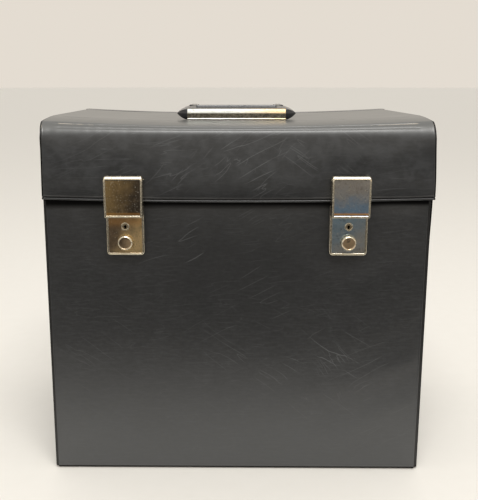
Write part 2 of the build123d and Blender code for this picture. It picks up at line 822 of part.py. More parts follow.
def lock_key_drum(centre):
    """Drum that the key turns, with the keyhole in front and the cam behind."""
    front = lock_front - key_ring_height + key_drum_recess
    blind = catch_front - key_drum_floor
    drum = rod_along_y(centre, key_height, front, catch_front, key_drum_radius)
    drum += rod_along_y(centre, key_height, catch_front, catch_back, key_hub_radius)
    drum += block(
        centre, centre + key_lobe_radius, catch_front, catch_back,
        key_height - key_lobe_width / 2, key_height + key_lobe_width / 2,
    ) & rod_along_y(centre, key_height, catch_front, catch_back, key_lobe_radius)
    drum -= rod_along_y(centre, key_height, front - 1, blind, keyhole_radius)
    slot = keyhole_slot_width / 2
    drum -= block(
        centre - slot, centre + slot, front - 1, blind,
        key_height - keyhole_slot_reach, key_height,
    )
    return drum - rod_along_y(centre, key_height, front, catch_back + 1, key_post_radius + key_post_clearance)


def lock_key_post(centre):
    """Fixed pin that the drum turns on."""
    return rod_along_y(centre, key_height, lock_front + lock_wall / 2, lock_floor_inside, key_post_radius)


def lock_rivets():
    """All rivets that hold the locks to the body."""
    inside = body_front + wall
    rivets = []
    for centre in latch_centres:
        for x, z in lock_rivet_places(centre):
            tail = rod_along_y(x, z, inside, inside + rivet_tail_height, rivet_tail_radius)
            pin = front_rivet(
                x, z, body_front - lock_case_wall, inside,
                small_shank_radius, small_head_radius, small_head_height,
            )
            rivets.append(pin + tail)
    return Compound(children=rivets)


def hasp_rivets():
    """All rivets that hold the hasp bases to the lid, their tails flush in the lining."""
    inside = lid_front + lid_wall
    rivets = []
    for centre in latch_centres:
        for x, z in hasp_rivet_places(centre):
            tail = rod_along_y(x, z, inside - rivet_tail_height, inside, rivet_tail_radius)
            pin = front_rivet(
                x, z, lid_front - hasp_base_thickness, inside - rivet_tail_height,
                large_shank_radius, large_head_radius, large_head_height,
            )
            rivets.append(pin + tail)
    return Compound(children=rivets)


# ---------------------------------------------------------------- handle
handle_leg_x = handle_back_length / 2 - handle_leg_thickness / 2
handle_outer = handle_pivot_y - handle_reach
handle_inner = handle_outer + handle_grip_depth
grip_middle = handle_pivot_z + handle_grip_rise
grip_low = grip_middle - handle_grip_thickness / 2
grip_high = grip_middle + handle_grip_thickness / 2
handle_fold = Axis((0, handle_pivot_y, handle_pivot_z), (1, 0, 0))


def folded(shape):
    """Tip a flat handle piece down to its folded place."""
    return shape.rotate(handle_fold, handle_drop_angle)


def grip_section(inset, back):
    """Section of the grip: bevelled outer face, taken in by an inset, and square back."""
    low = grip_low + inset
    high = grip_high - inset
    outer = handle_outer + inset
    bevel = inset * trim_bevel_shift
    return make_face(Polyline(
        (0, outer, grip_low + trim_chamfer_height + bevel), (0, outer + trim_chamfer_depth - bevel, low),
        (0, back, low), (0, back, high),
        (0, outer + trim_chamfer_depth - bevel, high), (0, outer, grip_high - trim_chamfer_height - bevel),
        close=True,
    ))


def handle_plan():
    """Plan of the grip: flat outer face, blunt tips and a shorter inner face."""
    front = handle_front_length / 2
    tip = handle_length / 2
    back = handle_back_length / 2
    blunt = handle_tip_blunt
    outline = Polyline(
        (-front, handle_outer, 0), (front, handle_outer, 0),
        (tip, handle_outer + handle_tip_back - blunt, 0), (tip, handle_outer + handle_tip_back + blunt, 0),
        (back, handle_inner, 0), (-back, handle_inner, 0),
        (-tip, handle_outer + handle_tip_back + blunt, 0), (-tip, handle_outer + handle_tip_back - blunt, 0),
        close=True,
    )
    return make_face(outline)


def trim_band():
    """The metal strip folded round the grip's outer face, before the handle is tipped."""
    half = handle_front_length / 2
    outer = extrude(grip_section(0, handle_inner), amount=half, both=True, dir=(1, 0, 0))
    inner = extrude(grip_section(trim_thickness, handle_inner + 1), amount=half + 1, both=True, dir=(1, 0, 0))
    folds = handle_outer + trim_chamfer_depth + trim_wrap
    return (outer - inner) & block(-far, far, handle_outer - 1, folds, 0, far)


def handle_leg(side):
    """One leg: a tapered bar from the grip to its pivot boss."""
    centre = side * handle_leg_x
    low = centre - handle_leg_thickness / 2
    high = centre + handle_leg_thickness / 2
    half = handle_leg_depth / 2
    root = handle_inner - handle_dish_inset
    bar = make_face(Polyline(
        (low, root, grip_middle - half), (low, root, grip_middle + half),
        (low, handle_pivot_y, handle_pivot_z + handle_boss_radius),
        (low, handle_pivot_y, handle_pivot_z - handle_boss_radius), close=True,
    ))
    leg = extrude(bar, amount=handle_leg_thickness, dir=(1, 0, 0))
    return leg + rod_along_x(handle_pivot_y, handle_pivot_z, low, high, handle_boss_radius)


def handle_grip():
    """Moulded bail: dished grip bar, two legs and pivot bosses."""
    bar = extrude(grip_section(0, handle_inner), amount=handle_length, both=True, dir=(1, 0, 0))
    plan = extrude(handle_plan(), amount=handle_grip_thickness + 2, dir=(0, 0, 1))
    bar &= Pos(0, 0, grip_low - 1) * plan
    inner_edges = bar.edges().filter_by(Axis.X).sort_by(Axis.Y)[-2:]
    bar = fillet(inner_edges, handle_edge_radius)
    dish_front = handle_outer + trim_chamfer_depth + trim_wrap + trim_thickness
    dish_back = handle_inner - handle_dish_inset
    dish_half = handle_back_length / 2 - handle_dish_inset
    for face in (grip_low, grip_high):
        bar -= block(
            -dish_half, dish_half, dish_front, dish_back,
            face - handle_dish_depth, face + handle_dish_depth,
        )
    grip = bar - trim_band() + handle_leg(-1) + handle_leg(1)
    grip -= rod_along_x(handle_pivot_y, handle_pivot_z, -far, far, handle_pin_radius + handle_hole_clearance)
    return folded(grip)


def handle_trim():
    """Metal strip folded round the grip's outer face."""
    return folded(trim_band())


def handle_bracket(side):
    """Saddle bracket: base riveted to the lid and two ears beside the handle's leg."""
    centre = side * handle_leg_x
    half = bracket_base_width / 2
    base_low = lid_middle + (handle_leg_x + half) ** 2 / (2 * sag_radius)
    base_high = base_low + bracket_base_thickness
    reach = bracket_base_length / 2
    bracket = block(
        centre - half, centre + half, handle_pivot_y - reach, handle_pivot_y + reach, base_low, base_high,
    )
    inner = handle_leg_thickness / 2 + bracket_gap
    for ear in (-1, 1):
        low, high = sorted((centre + ear * inner, centre + ear * (inner + bracket_ear_thickness)))
        bracket += block(
            low, high, handle_pivot_y - bracket_ear_radius, handle_pivot_y + bracket_ear_radius,
            base_low, handle_pivot_z,
        )
        bracket += rod_along_x(handle_pivot_y, handle_pivot_z, low, high, bracket_ear_radius)
    hole = handle_pin_radius + handle_hole_clearance
    bracket -= rod_along_x(handle_pivot_y, handle_pivot_z, centre - half, centre + half, hole)
    for step in (-1, 1):
        y = handle_pivot_y + step * handle_rivet_spacing / 2
        bracket -= rod_along_z(centre, y, base_low - 1, base_high + 1, large_shank_radius + rivet_clearance)
    return bracket


def handle_pin(side):
    """Pivot pin of one leg, headed at both ends."""
    centre = side * handle_leg_x
    reach = handle_leg_thickness / 2 + bracket_gap + bracket_ear_thickness + handle_pin_end_play
    pin = rod_along_x(handle_pivot_y, handle_pivot_z, centre - reach, centre + reach, handle_pin_radius)
    for end in (-1, 1):
        low, high = sorted((centre + end * reach, centre + end * (reach + handle_pin_head_thickness)))
        pin += rod_along_x(handle_pivot_y, handle_pivot_z, low, high, handle_pin_head_radius)
    return pin


def handle_backing_plate():
    """Steel strip inside the lid that spreads the handle's load."""
    top = lid_middle - lid_wall
    plate = block(
        -backing_length / 2, backing_length / 2,
        handle_pivot_y - backing_width / 2, handle_pivot_y + backing_width / 2,
        top - backing_thickness, top,
    )
    return drilled_top(plate)


def handle_rivets():
    """The rivets that clamp the brackets to the backing plate."""
    base_low = lid_middle + (handle_leg_x + bracket_base_width / 2) ** 2 / (2 * sag_radius)
    base_high = base_low + bracket_base_thickness
    low = lid_middle - lid_wall - backing_thickness
    rivets = []
    for x, y in handle_rivet_places():
        head = rod_along_z(x, y, base_high, base_high + large_head_height, large_head_radius)
        head = chamfer(head.edges().group_by(Axis.Z)[-1], large_head_height * head_bevel)
        shank = rod_along_z(x, y, low, base_high, large_shank_radius)
        tail = rod_along_z(x, y, low - rivet_tail_height, low, rivet_tail_radius)
        rivets.append(head + shank + tail)
    return Compound(children=rivets)


# ---------------------------------------------------------------- write the parts
os.makedirs("parts", exist_ok=True)

save(body_cover(), "body_cover")
save(body_front_board(), "body_front_board")
save(body_back_board(), "body_back_board")
save(body_bottom_board(), "body_bottom_board")
save(body_liner(), "body_liner")
save(body_rim(), "body_rim")

board_layer = lid_board_layer()
save(lid_cover(), "lid_cover")
save(lid_top_board(board_layer), "lid_top_board")
save(lid_edge_strip(board_layer), "lid_edge_strip")
save(lid_front_board(board_layer), "lid_front_board")
save(lid_liner(), "lid_liner")
save(lid_hem(), "lid_hem")
save(hinge_strip(), "hinge_strip")

for name, side in (("left", -1), ("right", 1)):
    save(body_side_board(side), "body_" + name + "_board")
    save(body_side_cover(side), "body_" + name + "_cover")
    save(body_bead(side), "body_" + name + "_bead")
    save(lid_side_board(side), "lid_" + name + "_board")
    save(lid_side_cover(side), "lid_" + name + "_cover")
    save(lid_bead(side), "lid_" + name + "_bead")
    save(handle_bracket(side), "handle_" + name + "_bracket")
    save(handle_pin(side), "handle_" + name + "_pin")
    middle = side * latch_spacing / 2
    save(hasp_base(middle), name + "_hasp_base")
    save(hasp_cover(middle), name + "_hasp_cover")
    save(hasp_hook(middle), name + "_hasp_hook")
    save(hasp_pin(middle), name + "_hasp_pin")
    save(lock_plate(middle), name + "_lock_plate")
    save(lock_case(middle), name + "_lock_case")
    save(lock_button(middle), name + "_lock_button")
    save(lock_catch(middle), name + "_lock_catch")
    save(catch_springs(middle), name + "_catch_springs")
    save(lock_key_drum(middle), name + "_key_drum")
    save(lock_key_post(middle), name + "_key_post")

save(lock_rivets(), "lock_rivets")
save(hasp_rivets(), "hasp_rivets")
save(handle_grip(), "handle_grip")
save(handle_trim(), "handle_trim")
save(handle_backing_plate(), "handle_backing_plate")
save(handle_rivets(), "handle_rivets")

# Joint axes: a point (x, y, z) on each, and how far it turns or slides
middle = latch_spacing / 2
print("lid hinge, along X", (0, hinge_line_y, hinge_line_z), lid_max_angle)
print("handle, along X", (0, handle_pivot_y, handle_pivot_z), handle_max_angle)
print("hasp, along X", (middle, hasp_pin_y, hasp_pin_z), hasp_max_angle)
print("button, along Y", (middle, lock_front, button_height), button_travel)
print("key, along Y", (middle, body_front, key_height), key_turn_angle)
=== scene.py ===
# Record carrying case: vinyl sheets welded over board, two hasp locks and a folding handle
import bmesh
import bpy, json, math
import numpy as np
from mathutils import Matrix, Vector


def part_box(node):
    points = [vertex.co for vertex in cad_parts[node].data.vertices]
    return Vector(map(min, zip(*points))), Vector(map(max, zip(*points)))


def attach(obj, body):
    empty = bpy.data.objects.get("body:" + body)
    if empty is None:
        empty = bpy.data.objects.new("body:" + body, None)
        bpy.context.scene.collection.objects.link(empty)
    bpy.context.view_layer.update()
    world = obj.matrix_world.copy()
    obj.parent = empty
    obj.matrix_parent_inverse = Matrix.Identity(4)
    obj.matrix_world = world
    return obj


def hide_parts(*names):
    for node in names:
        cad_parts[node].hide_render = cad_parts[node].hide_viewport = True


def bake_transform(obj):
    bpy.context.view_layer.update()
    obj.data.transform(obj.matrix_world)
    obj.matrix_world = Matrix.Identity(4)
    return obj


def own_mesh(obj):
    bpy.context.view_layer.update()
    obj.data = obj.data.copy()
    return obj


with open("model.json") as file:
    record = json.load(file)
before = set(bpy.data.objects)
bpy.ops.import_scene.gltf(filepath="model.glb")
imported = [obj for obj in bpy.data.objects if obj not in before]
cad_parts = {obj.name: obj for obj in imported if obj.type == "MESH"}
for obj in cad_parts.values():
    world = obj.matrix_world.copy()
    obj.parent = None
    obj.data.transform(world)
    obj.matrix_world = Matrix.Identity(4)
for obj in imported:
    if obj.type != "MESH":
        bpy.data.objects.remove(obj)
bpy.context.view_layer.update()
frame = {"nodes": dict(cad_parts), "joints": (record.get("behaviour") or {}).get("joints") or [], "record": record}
cadNodes = frame["nodes"]
mm = 0.001
sharpAngle = math.radians(35)
print("frame loaded:", len(cadNodes), "nodes")


# ---- shader maths: a wire is one socket, and the usual operators add Math nodes
def mathOperator(kind, reflected=False):
    def apply(self, other):
        return self.finish.math(kind, other, self) if reflected else self.finish.math(kind, self, other)
    return apply


class Wire:
    __add__, __radd__ = mathOperator("ADD"), mathOperator("ADD", True)
    __sub__, __rsub__ = mathOperator("SUBTRACT"), mathOperator("SUBTRACT", True)
    __mul__, __rmul__ = mathOperator("MULTIPLY"), mathOperator("MULTIPLY", True)
    __truediv__, __rtruediv__ = mathOperator("DIVIDE"), mathOperator("DIVIDE", True)

    def __init__(self, finish, socket):
        self.finish, self.socket = finish, socket

    def __neg__(self):
        return self * -1

    def above(self, low, high):  # 0 at low, 1 at high, smooth between
        inputs = {"Value": self, "From Min": low, "From Max": high}
        return self.finish.node("MapRange", {"interpolation_type": "SMOOTHSTEP"}, inputs)

    def below(self, low, high):  # 1 at low, 0 at high
        return 1 - self.above(low, high)

    def near(self, centre, reach):  # a bell, 1 at the centre
        offset = (self - centre) / reach
        return self.finish.math("EXPONENT", -(offset * offset))

    def upTo(self, most):
        return self.finish.math("MINIMUM", self, most)


class Finish:
    def __init__(self, name, tree=None):
        if tree is None:
            self.material = bpy.data.materials.new(name)
            self.material.use_nodes = True
            tree = self.material.node_tree
        self.tree = tree
        tree.nodes.clear()

    def node(self, kind, settings=None, inputs=None, out=0):
        made = self.tree.nodes.new("ShaderNode" + kind)
        for key, value in (settings or {}).items():
            setattr(made, key, value)
        for key, value in (inputs or {}).items():
            self.plug(made.inputs[key], value)
        return Wire(self, made.outputs[out]) if made.outputs else None

    def math(self, operation, *values):
        return self.node("Math", {"operation": operation}, dict(enumerate(values)))

    def plug(self, socket, value):
        if isinstance(value, Wire):
            self.tree.links.new(value.socket, socket)
        elif socket.type == "RGBA":
            socket.default_value = (*value, 1)
        else:
            socket.default_value = value

    def object(self, scale=(1, 1, 1)):
        return self.node("Mapping", None, {"Vector": self.node("TexCoord", out=3), "Scale": scale})

    def sheet(self, scale=(1, 1, 1)):
        return self.node("Mapping", None, {"Vector": self.node("UVMap", {"uv_map": "sheet"}), "Scale": scale})

    def face(self):  # the share of a piece's own marked part, such as a plated face's tarnish and painted reflection, or painted shade in a groove
        return self.node("Attribute", {"attribute_name": "face"}, out=2)

    def axes(self, vector):
        split = self.node("SeparateXYZ", None, {"Vector": vector})
        return [Wire(self, socket) for socket in split.socket.node.outputs]

    def noise(self, vector, scale=1.0, detail=2.0, roughness=0.5):
        inputs = {"Vector": vector, "Scale": scale, "Detail": detail, "Roughness": roughness}
        return self.node("TexNoise", None, inputs)

    def warped(self, vector, scale, amount):  # the vector pushed about by a noise of the given scale
        colour = self.node("TexNoise", None, {"Vector": vector, "Scale": scale, "Detail": 2.0}, out=1)
        centred = self.node("VectorMath", {"operation": "SUBTRACT"}, {0: colour, 1: (0.5, 0.5, 0.5)})
        push = self.node("VectorMath", {"operation": "SCALE"}, {0: centred, "Scale": amount})
        return self.node("VectorMath", {"operation": "ADD"}, {0: vector, 1: push})

    def mix(self, share, first, second):
        return self.node("Mix", {"data_type": "RGBA"}, {0: share, 6: first, 7: second}, out=2)

    def bump(self, height, distance, strength):
        return self.node("Bump", None, {"Height": height, "Distance": distance, "Strength": strength})

    def surface(self, colour, roughness, normal=None, shade=None, **constants):
        # shade, where given, is the share of a dull black painted as shade into deep grooves and under the lid's
        # hem
        inputs = {"Base Color": colour, "Roughness": roughness}
        inputs |= {key.replace("_", " "): value for key, value in constants.items()}
        if normal is not None:
            inputs["Normal"] = normal
        shader = self.node("BsdfPrincipled", None, inputs)
        if shade is not None:
            dull = {"Base Color": (0.0015, 0.0015, 0.0016), "Roughness": 0.9, "Specular IOR Level": 0.0}
            black = self.node("BsdfPrincipled", None, dull)
            shader = self.node("MixShader", None, {0: shade, 1: shader, 2: black})
        self.node("OutputMaterial", None, {"Surface": shader})
        return self.material


# ---- finishes
vinylLook = {
    # of these tones the light one for creases is a painted highlight, the pale one for the foot and the lid's
    # front is dust with a painted sheen, the top's is dust with a painted reflection, and the near-black one is
    # painted shade
    "colour": (0.0086, 0.0093, 0.0102), "cloudy": (0.0262, 0.0280, 0.0300), "crest": (0.118, 0.124, 0.130),
    "dusty": (0.066, 0.070, 0.075), "top": (0.094, 0.0935, 0.088), "seam": (0.0030, 0.0030, 0.0033),
    # heights between which the foot's dust and painted floor reflection end, the lid's front begins and takes a
    # painted sheen, its top turns pale with dust and a painted reflection, and it lies level
    "foot": (18 * mm, 150 * mm), "lidFront": (262 * mm, 290 * mm), "lidTop": (317 * mm, 326 * mm),
    "level": (323.5 * mm, 329 * mm),
    # a darker place in the middle of the front: reach across, height, reach up, strength
    "clean": (90 * mm, 205 * mm, 50 * mm, 0.45),
    "roughness": 0.34, "gloss": 0.20, "glossRoughness": 0.24, "shine": 0.72,
    # grain cells across and along a sheet, and how much each grain adds to the relief
    "grain": ((420, 1250, 1), 0.30), "pores": ((1500, 2100, 1), 0.10), "leather": ((230, 330, 1), 0.35),
    "wrinkles": ((95, 460, 1), 0.7), "lineHeight": 0.9, "relief": 0.14 * mm, "reliefStrength": 0.42,
    # crease families: turn of the lines, cells along and across them, half their width, cells of the noise
    # that breaks them, then the places where they gather: x, z, reach in x, reach in z, strength
    "creases": [
        (0.44, 7, 62, 0.50 * mm, 30, [
            (-0.050, 0.300, 0.085, 0.032, 1.0), (0.045, 0.286, 0.060, 0.030, 0.8),
            (-0.030, 0.216, 0.055, 0.032, 0.8), (0.040, 0.150, 0.090, 0.050, 0.4),
            (0.135, 0.085, 0.035, 0.050, 0.5)]),
        (-0.62, 7, 64, 0.48 * mm, 33, [
            (0.070, 0.298, 0.050, 0.028, 0.9), (0.085, 0.105, 0.036, 0.045, 0.9),
            (0.010, 0.110, 0.050, 0.050, 0.35), (-0.120, 0.110, 0.040, 0.070, 0.3)]),
        (0.85, 13, 90, 0.45 * mm, 38, [
            (-0.020, 0.284, 0.085, 0.018, 0.9), (0.020, 0.303, 0.040, 0.014, 0.6)]),
        (-0.92, 30, 210, 0.40 * mm, 42, [
            (0.092, 0.100, 0.015, 0.026, 0.9), (0.098, 0.150, 0.020, 0.018, 0.35)]),
        (0.05, 13, 115, 0.42 * mm, 40, [
            (-0.090, 0.302, 0.060, 0.020, 0.7), (0.115, 0.275, 0.040, 0.010, 0.7),
            (0.000, 0.160, 0.300, 0.200, 0.22)]),
    ],
}


def creaseLines(f, sheet, turn, along, across, halfWidth):
    # thin curves where a noise drawn out one way crosses its middle value; its slope keeps them even
    step, leastSlope, core = 0.02, 0.03, 0.2
    turned = f.node("Mapping", None, {"Vector": sheet, "Rotation": (0, 0, -turn)})
    levels = []
    for offset in (0.0, step):
        inputs = {"Vector": turned, "Scale": (along, across, 1), "Location": (0, offset, 0)}
        levels.append(f.noise(f.node("Mapping", None, inputs), 1.0, 2.0, 0.4) - 0.5)
    slope = f.math("ABSOLUTE", levels[1] - levels[0]) / step + leastSlope
    distance = f.math("ABSOLUTE", levels[0]) / slope
    return distance.below(halfWidth * across * core, halfWidth * across)


def gathered(x, z, places):
    total = 0
    for placeX, placeZ, reachX, reachZ, strength in places:
        total = total + x.near(placeX, reachX) * z.near(placeZ, reachZ) * strength
    return total.upTo(1.0)


def vinylFinish(name):
    look = vinylLook
    f = Finish(name)
    sheet = f.sheet()
    x, y, z = f.axes(f.object())
    seam = f.face()

    def grainOf(key, detail, roughness=0.5):
        return f.noise(f.sheet(look[key][0]), 1.0, detail, roughness)

    grain, pores = grainOf("grain", 3.0, 0.6), grainOf("pores", 1.0)
    leather, wrinkles = grainOf("leather", 3.0, 0.65), grainOf("wrinkles", 3.0, 0.6)
    soft = f.noise(sheet, 16.0, 2.0)
    bent = f.warped(sheet, 14.0, 0.007)
    lines = 0
    for turn, along, across, halfWidth, breaks, places in look["creases"]:
        broken = f.noise(sheet, breaks, 1.0).above(0.46, 0.60)
        lines = lines + creaseLines(f, bent, turn, along, across, halfWidth) * broken * gathered(x, z, places)
    lines = lines.upTo(1.0)
    level = z.above(*look["level"])
    height = grain * look["grain"][1] + pores * look["pores"][1] + leather * look["leather"][1]
    height = (height + wrinkles * look["wrinkles"][1] + lines * look["lineHeight"]) * (1 - level * 0.65)
    normal = f.bump(height, look["relief"], look["reliefStrength"])
    footSheenAndDust = z.below(*look["foot"]) * (soft * 0.4 + 0.8)
    patches = f.noise(sheet, 75.0, 3.0, 0.6).above(0.38, 0.66)
    tone = soft * 0.20 + leather.above(0.32, 0.68) * 0.4 + grain * 0.2 + patches * 0.2
    tone = tone + wrinkles.above(0.42, 0.66) * 0.5
    darkerReachX, darkerLevel, darkerReachZ, darkerStrength = look["clean"]
    colour = f.mix(tone.upTo(1.4) * 0.8, look["colour"], look["cloudy"])
    # painted sheen: the lid's front is lightened, more so in patches
    colour = f.mix(z.above(*look["lidFront"]) * (patches * 0.3 + 0.15), colour, look["dusty"])
    colour = f.mix(x.near(0.0, darkerReachX) * z.near(darkerLevel, darkerReachZ) * darkerStrength, colour, look["colour"])
    # lighter towards the foot: dust and a painted reflection of the pale floor
    colour = f.mix(footSheenAndDust.upTo(1.0) * 0.6, colour, look["dusty"])
    # the top turns pale: dust and a painted reflection of the wall behind
    colour = f.mix(z.above(*look["lidTop"]), colour, look["top"])
    # painted highlight along the creases
    colour = f.mix(lines * 0.55, colour, look["crest"])
    # painted shade in grooves, in the stepped-back strips and under the lid's hem, with a dull black mixed in
    colour = f.mix(seam, colour, look["seam"])
    rough = look["roughness"] + soft * 0.06 + grain * 0.06 - level * 0.07
    return f.surface(colour, rough, normal, shade=seam * 0.9, Specular_IOR_Level=look["shine"],
                     Coat_Weight=look["gloss"] * (1 - level * 0.6), Coat_Roughness=look["glossRoughness"])


# the plain finishes: two tones of each
tones = {
    "weld": ((0.007, 0.007, 0.0075), (0.014, 0.014, 0.014)),
    "bail": ((0.010, 0.011, 0.014), (0.020, 0.021, 0.024)),
    "lining": ((0.040, 0.041, 0.046), (0.062, 0.062, 0.067)),
    "board": ((0.36, 0.31, 0.25), (0.47, 0.42, 0.35)),
    "brass": ((0.62, 0.52, 0.36), (0.30, 0.22, 0.13)), "keyhole": (0.004, 0.004, 0.004),
}


def weldFinish():
    f = Finish("weldStrip")
    grain = f.noise(f.object((700, 700, 700)))
    return f.surface(f.mix(grain, *tones["weld"]), 0.38 + grain * 0.12, f.bump(grain, 0.1 * mm, 0.4))


def glossPlastic():
    f = Finish("bailPlastic")
    haze = f.noise(f.object(), 180.0, 3.0)
    scuffs = f.noise(f.object((200, 2200, 1600)), 1.0, 3.0).above(0.6, 0.72)
    rough = 0.16 + haze * 0.10 + scuffs * 0.22
    return f.surface(f.mix(haze, *tones["bail"]), rough, f.bump(haze + scuffs * 0.3, 0.2 * mm, 0.25),
                     Coat_Weight=0.3)


def liningFinish():
    # thin lining cloth: a fine square weave pressed into vinyl
    f = Finish("lining")
    weave = f.noise(f.object((2600, 2600, 2600)), 1.0, 1.0)
    soft = f.noise(f.object(), 26.0, 3.0)
    relief = f.bump(weave + soft * 2, 0.15 * mm, 0.5)
    return f.surface(f.mix(soft, *tones["lining"]), 0.55 + weave * 0.15, relief)


def boardFinish():
    f = Finish("millboard")
    fibres = f.noise(f.object((500, 500, 500)), 1.0, 4.0, 0.7)
    return f.surface(f.mix(fibres.above(0.3, 0.7), *tones["board"]), 0.85, f.bump(fibres, 0.2 * mm, 0.6))


keyholeDepth = (-104.80 * mm, -104.70 * mm)


def keyFinish():
    # worn brass in front, painted black inside the keyhole as its shade
    f = Finish("keyBrass")
    place = f.object()
    inside = f.axes(place)[1].above(*keyholeDepth)
    colour = f.mix(inside, f.mix(f.noise(place, 900.0, 3.0), *tones["brass"]), tones["keyhole"])
    return f.surface(colour, 0.3 + inside * 0.5, Metallic=1.0)


def plainMetal(name, light, dark, roughness):
    f = Finish(name)
    mottle = f.noise(f.object(), 600.0, 4.0, 0.6)
    colour = f.mix(mottle.above(0.35, 0.75), light, dark)
    return f.surface(colour, roughness + mottle * 0.15, f.bump(mottle, 0.1 * mm, 0.25), Metallic=1.0)


platedLook = {
    "bright": (0.86, 0.80, 0.65), "tan": (0.56, 0.43, 0.27), "dark": (0.055, 0.045, 0.036),
    "orange": (0.78, 0.38, 0.09),
    # each face: its finish's name and two tones, tarnish with a painted reflection of the room in them; then the
    # turn from one to the other across and up, the middle of the face, the strength of its blotches, and a warm
    # band's height, reach and strength, the left plate's band being painted shade just under the hasp
    "leftHasp": ("goldHasp", (0.37, 0.255, 0.115), (0.078, 0.062, 0.048),
                 (30, -9), (-99.5 * mm, 266 * mm), 0.35, (250.4 * mm, 1.0 * mm, 0.45)),
    "rightHasp": ("greyHasp", (0.135, 0.31, 0.52), (0.39, 0.365, 0.335),
                  (0, 30), (98.5 * mm, 259 * mm), 0.35, (250.4 * mm, 1.0 * mm, 0.9)),
    "leftPlate": ("goldPlate", (0.24, 0.175, 0.115), (0.90, 0.66, 0.34),
                  (34, -20), (-97 * mm, 227 * mm), 0.35, (242 * mm, 4.5 * mm, 0.35)),
    "rightPlate": ("greyPlate", (0.30, 0.40, 0.48), (0.52, 0.49, 0.44),
                   (14, -20), (103 * mm, 226 * mm), 0.35, None),
    "button": ("buttonPlate", (0.17, 0.12, 0.080), (0.62, 0.45, 0.28),
               (90, -60), (-98.5 * mm, 223 * mm), 0.8, None),
}


def platedFinish(key):
    # bright plating with a tarnished face that turns from one tone to the other, the turn partly tarnish and
    # partly a painted reflection of the room, and a warm band across it
    look = platedLook
    name, first, second, (across, up), (middleX, middleZ), blotches, band = look[key]
    f = Finish(name)
    place = f.object()
    x, y, z = f.axes(place)
    face = f.face()
    mottle = f.noise(place, 420.0, 4.0, 0.7)
    cloud = f.noise(place, 110.0, 3.0)
    slope = (x - middleX) * across + (z - middleZ) * up + cloud * 0.7 + 0.15
    tone = f.mix(slope.above(0.0, 1.0), first, second)
    tone = f.mix(mottle.above(0.50, 0.78) * 0.30, tone, look["tan"])
    tone = f.mix(f.noise(place, 260.0, 3.0, 0.6).above(0.54, 0.72) * blotches, tone, look["dark"])
    pits = f.noise(place, 1300.0, 1.0).above(0.64, 0.72)
    specks = f.noise(place, 1000.0, 1.0).above(0.66, 0.73) * cloud.above(0.40, 0.55)
    tone = f.mix(pits * 0.6, tone, look["dark"])
    tone = f.mix(specks * 0.8, tone, look["bright"])
    if band:
        tone = f.mix(z.near(band[0], band[1]) * band[2], tone, look["orange"])
    edge = f.mix(mottle.above(0.35, 0.75) * 0.65, look["bright"], look["tan"])
    rough = 0.16 + mottle * 0.14 + pits * 0.2 + face * 0.10
    normal = f.bump(mottle + cloud * 1.5 + pits * 0.6, 0.1 * mm, 0.35)
    return f.surface(f.mix(face, edge, tone), rough, normal, Metallic=1.0)


# the handle's strip: tones at its left and right end for the lip below and the upper flat, painted reflections;
# the face's own two, a painted reflection of the dark room
stripLook = {
    "lip": ((0.80, 0.78, 0.72), (0.84, 0.70, 0.47)), "upper": ((0.40, 0.405, 0.375), (0.52, 0.395, 0.225)),
    "face": ((0.42, 0.385, 0.30), (0.115, 0.105, 0.085)), "glint": (0.85, 0.78, 0.62),
    "grime": (0.20, 0.175, 0.14), "warmFrom": -10 * mm, "warmTo": 50 * mm,
}


def stripFinish():
    # plated strip: long scratches across its flats, warmer towards the right end, its lip painted light and its
    # face painted dark as reflections, the face mottled with wear and painted glints
    look = stripLook
    f = Finish("handleStrip")
    warm = f.axes(f.object())[0].above(look["warmFrom"], look["warmTo"])
    scratch = f.noise(f.object((160, 2600, 2600)), 1.0, 3.0, 0.7)
    wear = f.noise(f.object((420, 700, 700)), 1.0, 4.0, 0.7)
    spots = f.noise(f.object((330, 620, 620)), 1.0, 4.0, 0.75)
    front = f.face()
    colour = f.mix(warm, *look["lip"])
    colour = f.mix(front.near(0.5, 0.4).above(0.0, 0.5), colour, f.mix(warm, *look["upper"]))
    reflectionAndWear = f.mix(spots.above(0.36, 0.66), *look["face"])
    reflectionAndWear = f.mix(spots.below(0.30, 0.36) * 0.8, reflectionAndWear, look["glint"])
    colour = f.mix(front.above(0.7, 0.9), colour, reflectionAndWear)
    colour = f.mix(wear.above(0.56, 0.72) * 0.5, colour, look["grime"])
    rough = 0.20 + scratch * 0.22 + wear * 0.1
    return f.surface(colour, rough, f.bump(scratch * 0.5 + wear, 0.18 * mm, 0.5), Metallic=1.0)


finishes = {
    "vinyl": vinylFinish("vinylSheet"), "weld_bead": weldFinish(), "lining": liningFinish(),
    "board": boardFinish(), "handle_plastic": glossPlastic(), "handle_trim": stripFinish(),
    "bracket_steel": plainMetal("blackSteel", (0.05, 0.05, 0.052), (0.02, 0.02, 0.02), 0.35),
    "rivet_steel": plainMetal("rivetSteel", (0.66, 0.63, 0.56), (0.38, 0.33, 0.26), 0.25),
    "lock_brass": keyFinish(),
    "lock_steel": plainMetal("zincSteel", (0.56, 0.55, 0.53), (0.34, 0.33, 0.32), 0.30),
    "spring_steel": plainMetal("springSteel", (0.55, 0.55, 0.55), (0.35, 0.35, 0.36), 0.22),
}
for key in ("leftHasp", "rightHasp", "leftPlate", "rightPlate", "button"):
    finishes[key] = platedFinish(key)
print("finishes made:", len(finishes))


# ---- grids and pieces
def gridFaces(rows, columns, closed=False):
    # quads between neighbouring rows and columns; closed joins the last column to the first
    row = np.arange(rows - 1)[:, None]
    column = np.arange(columns if closed else columns - 1)[None, :]
    here, after = row * columns + column, row * columns + (column + 1) % columns
    return np.stack([here, after, after + columns, here + columns], -1).reshape(-1, 4)


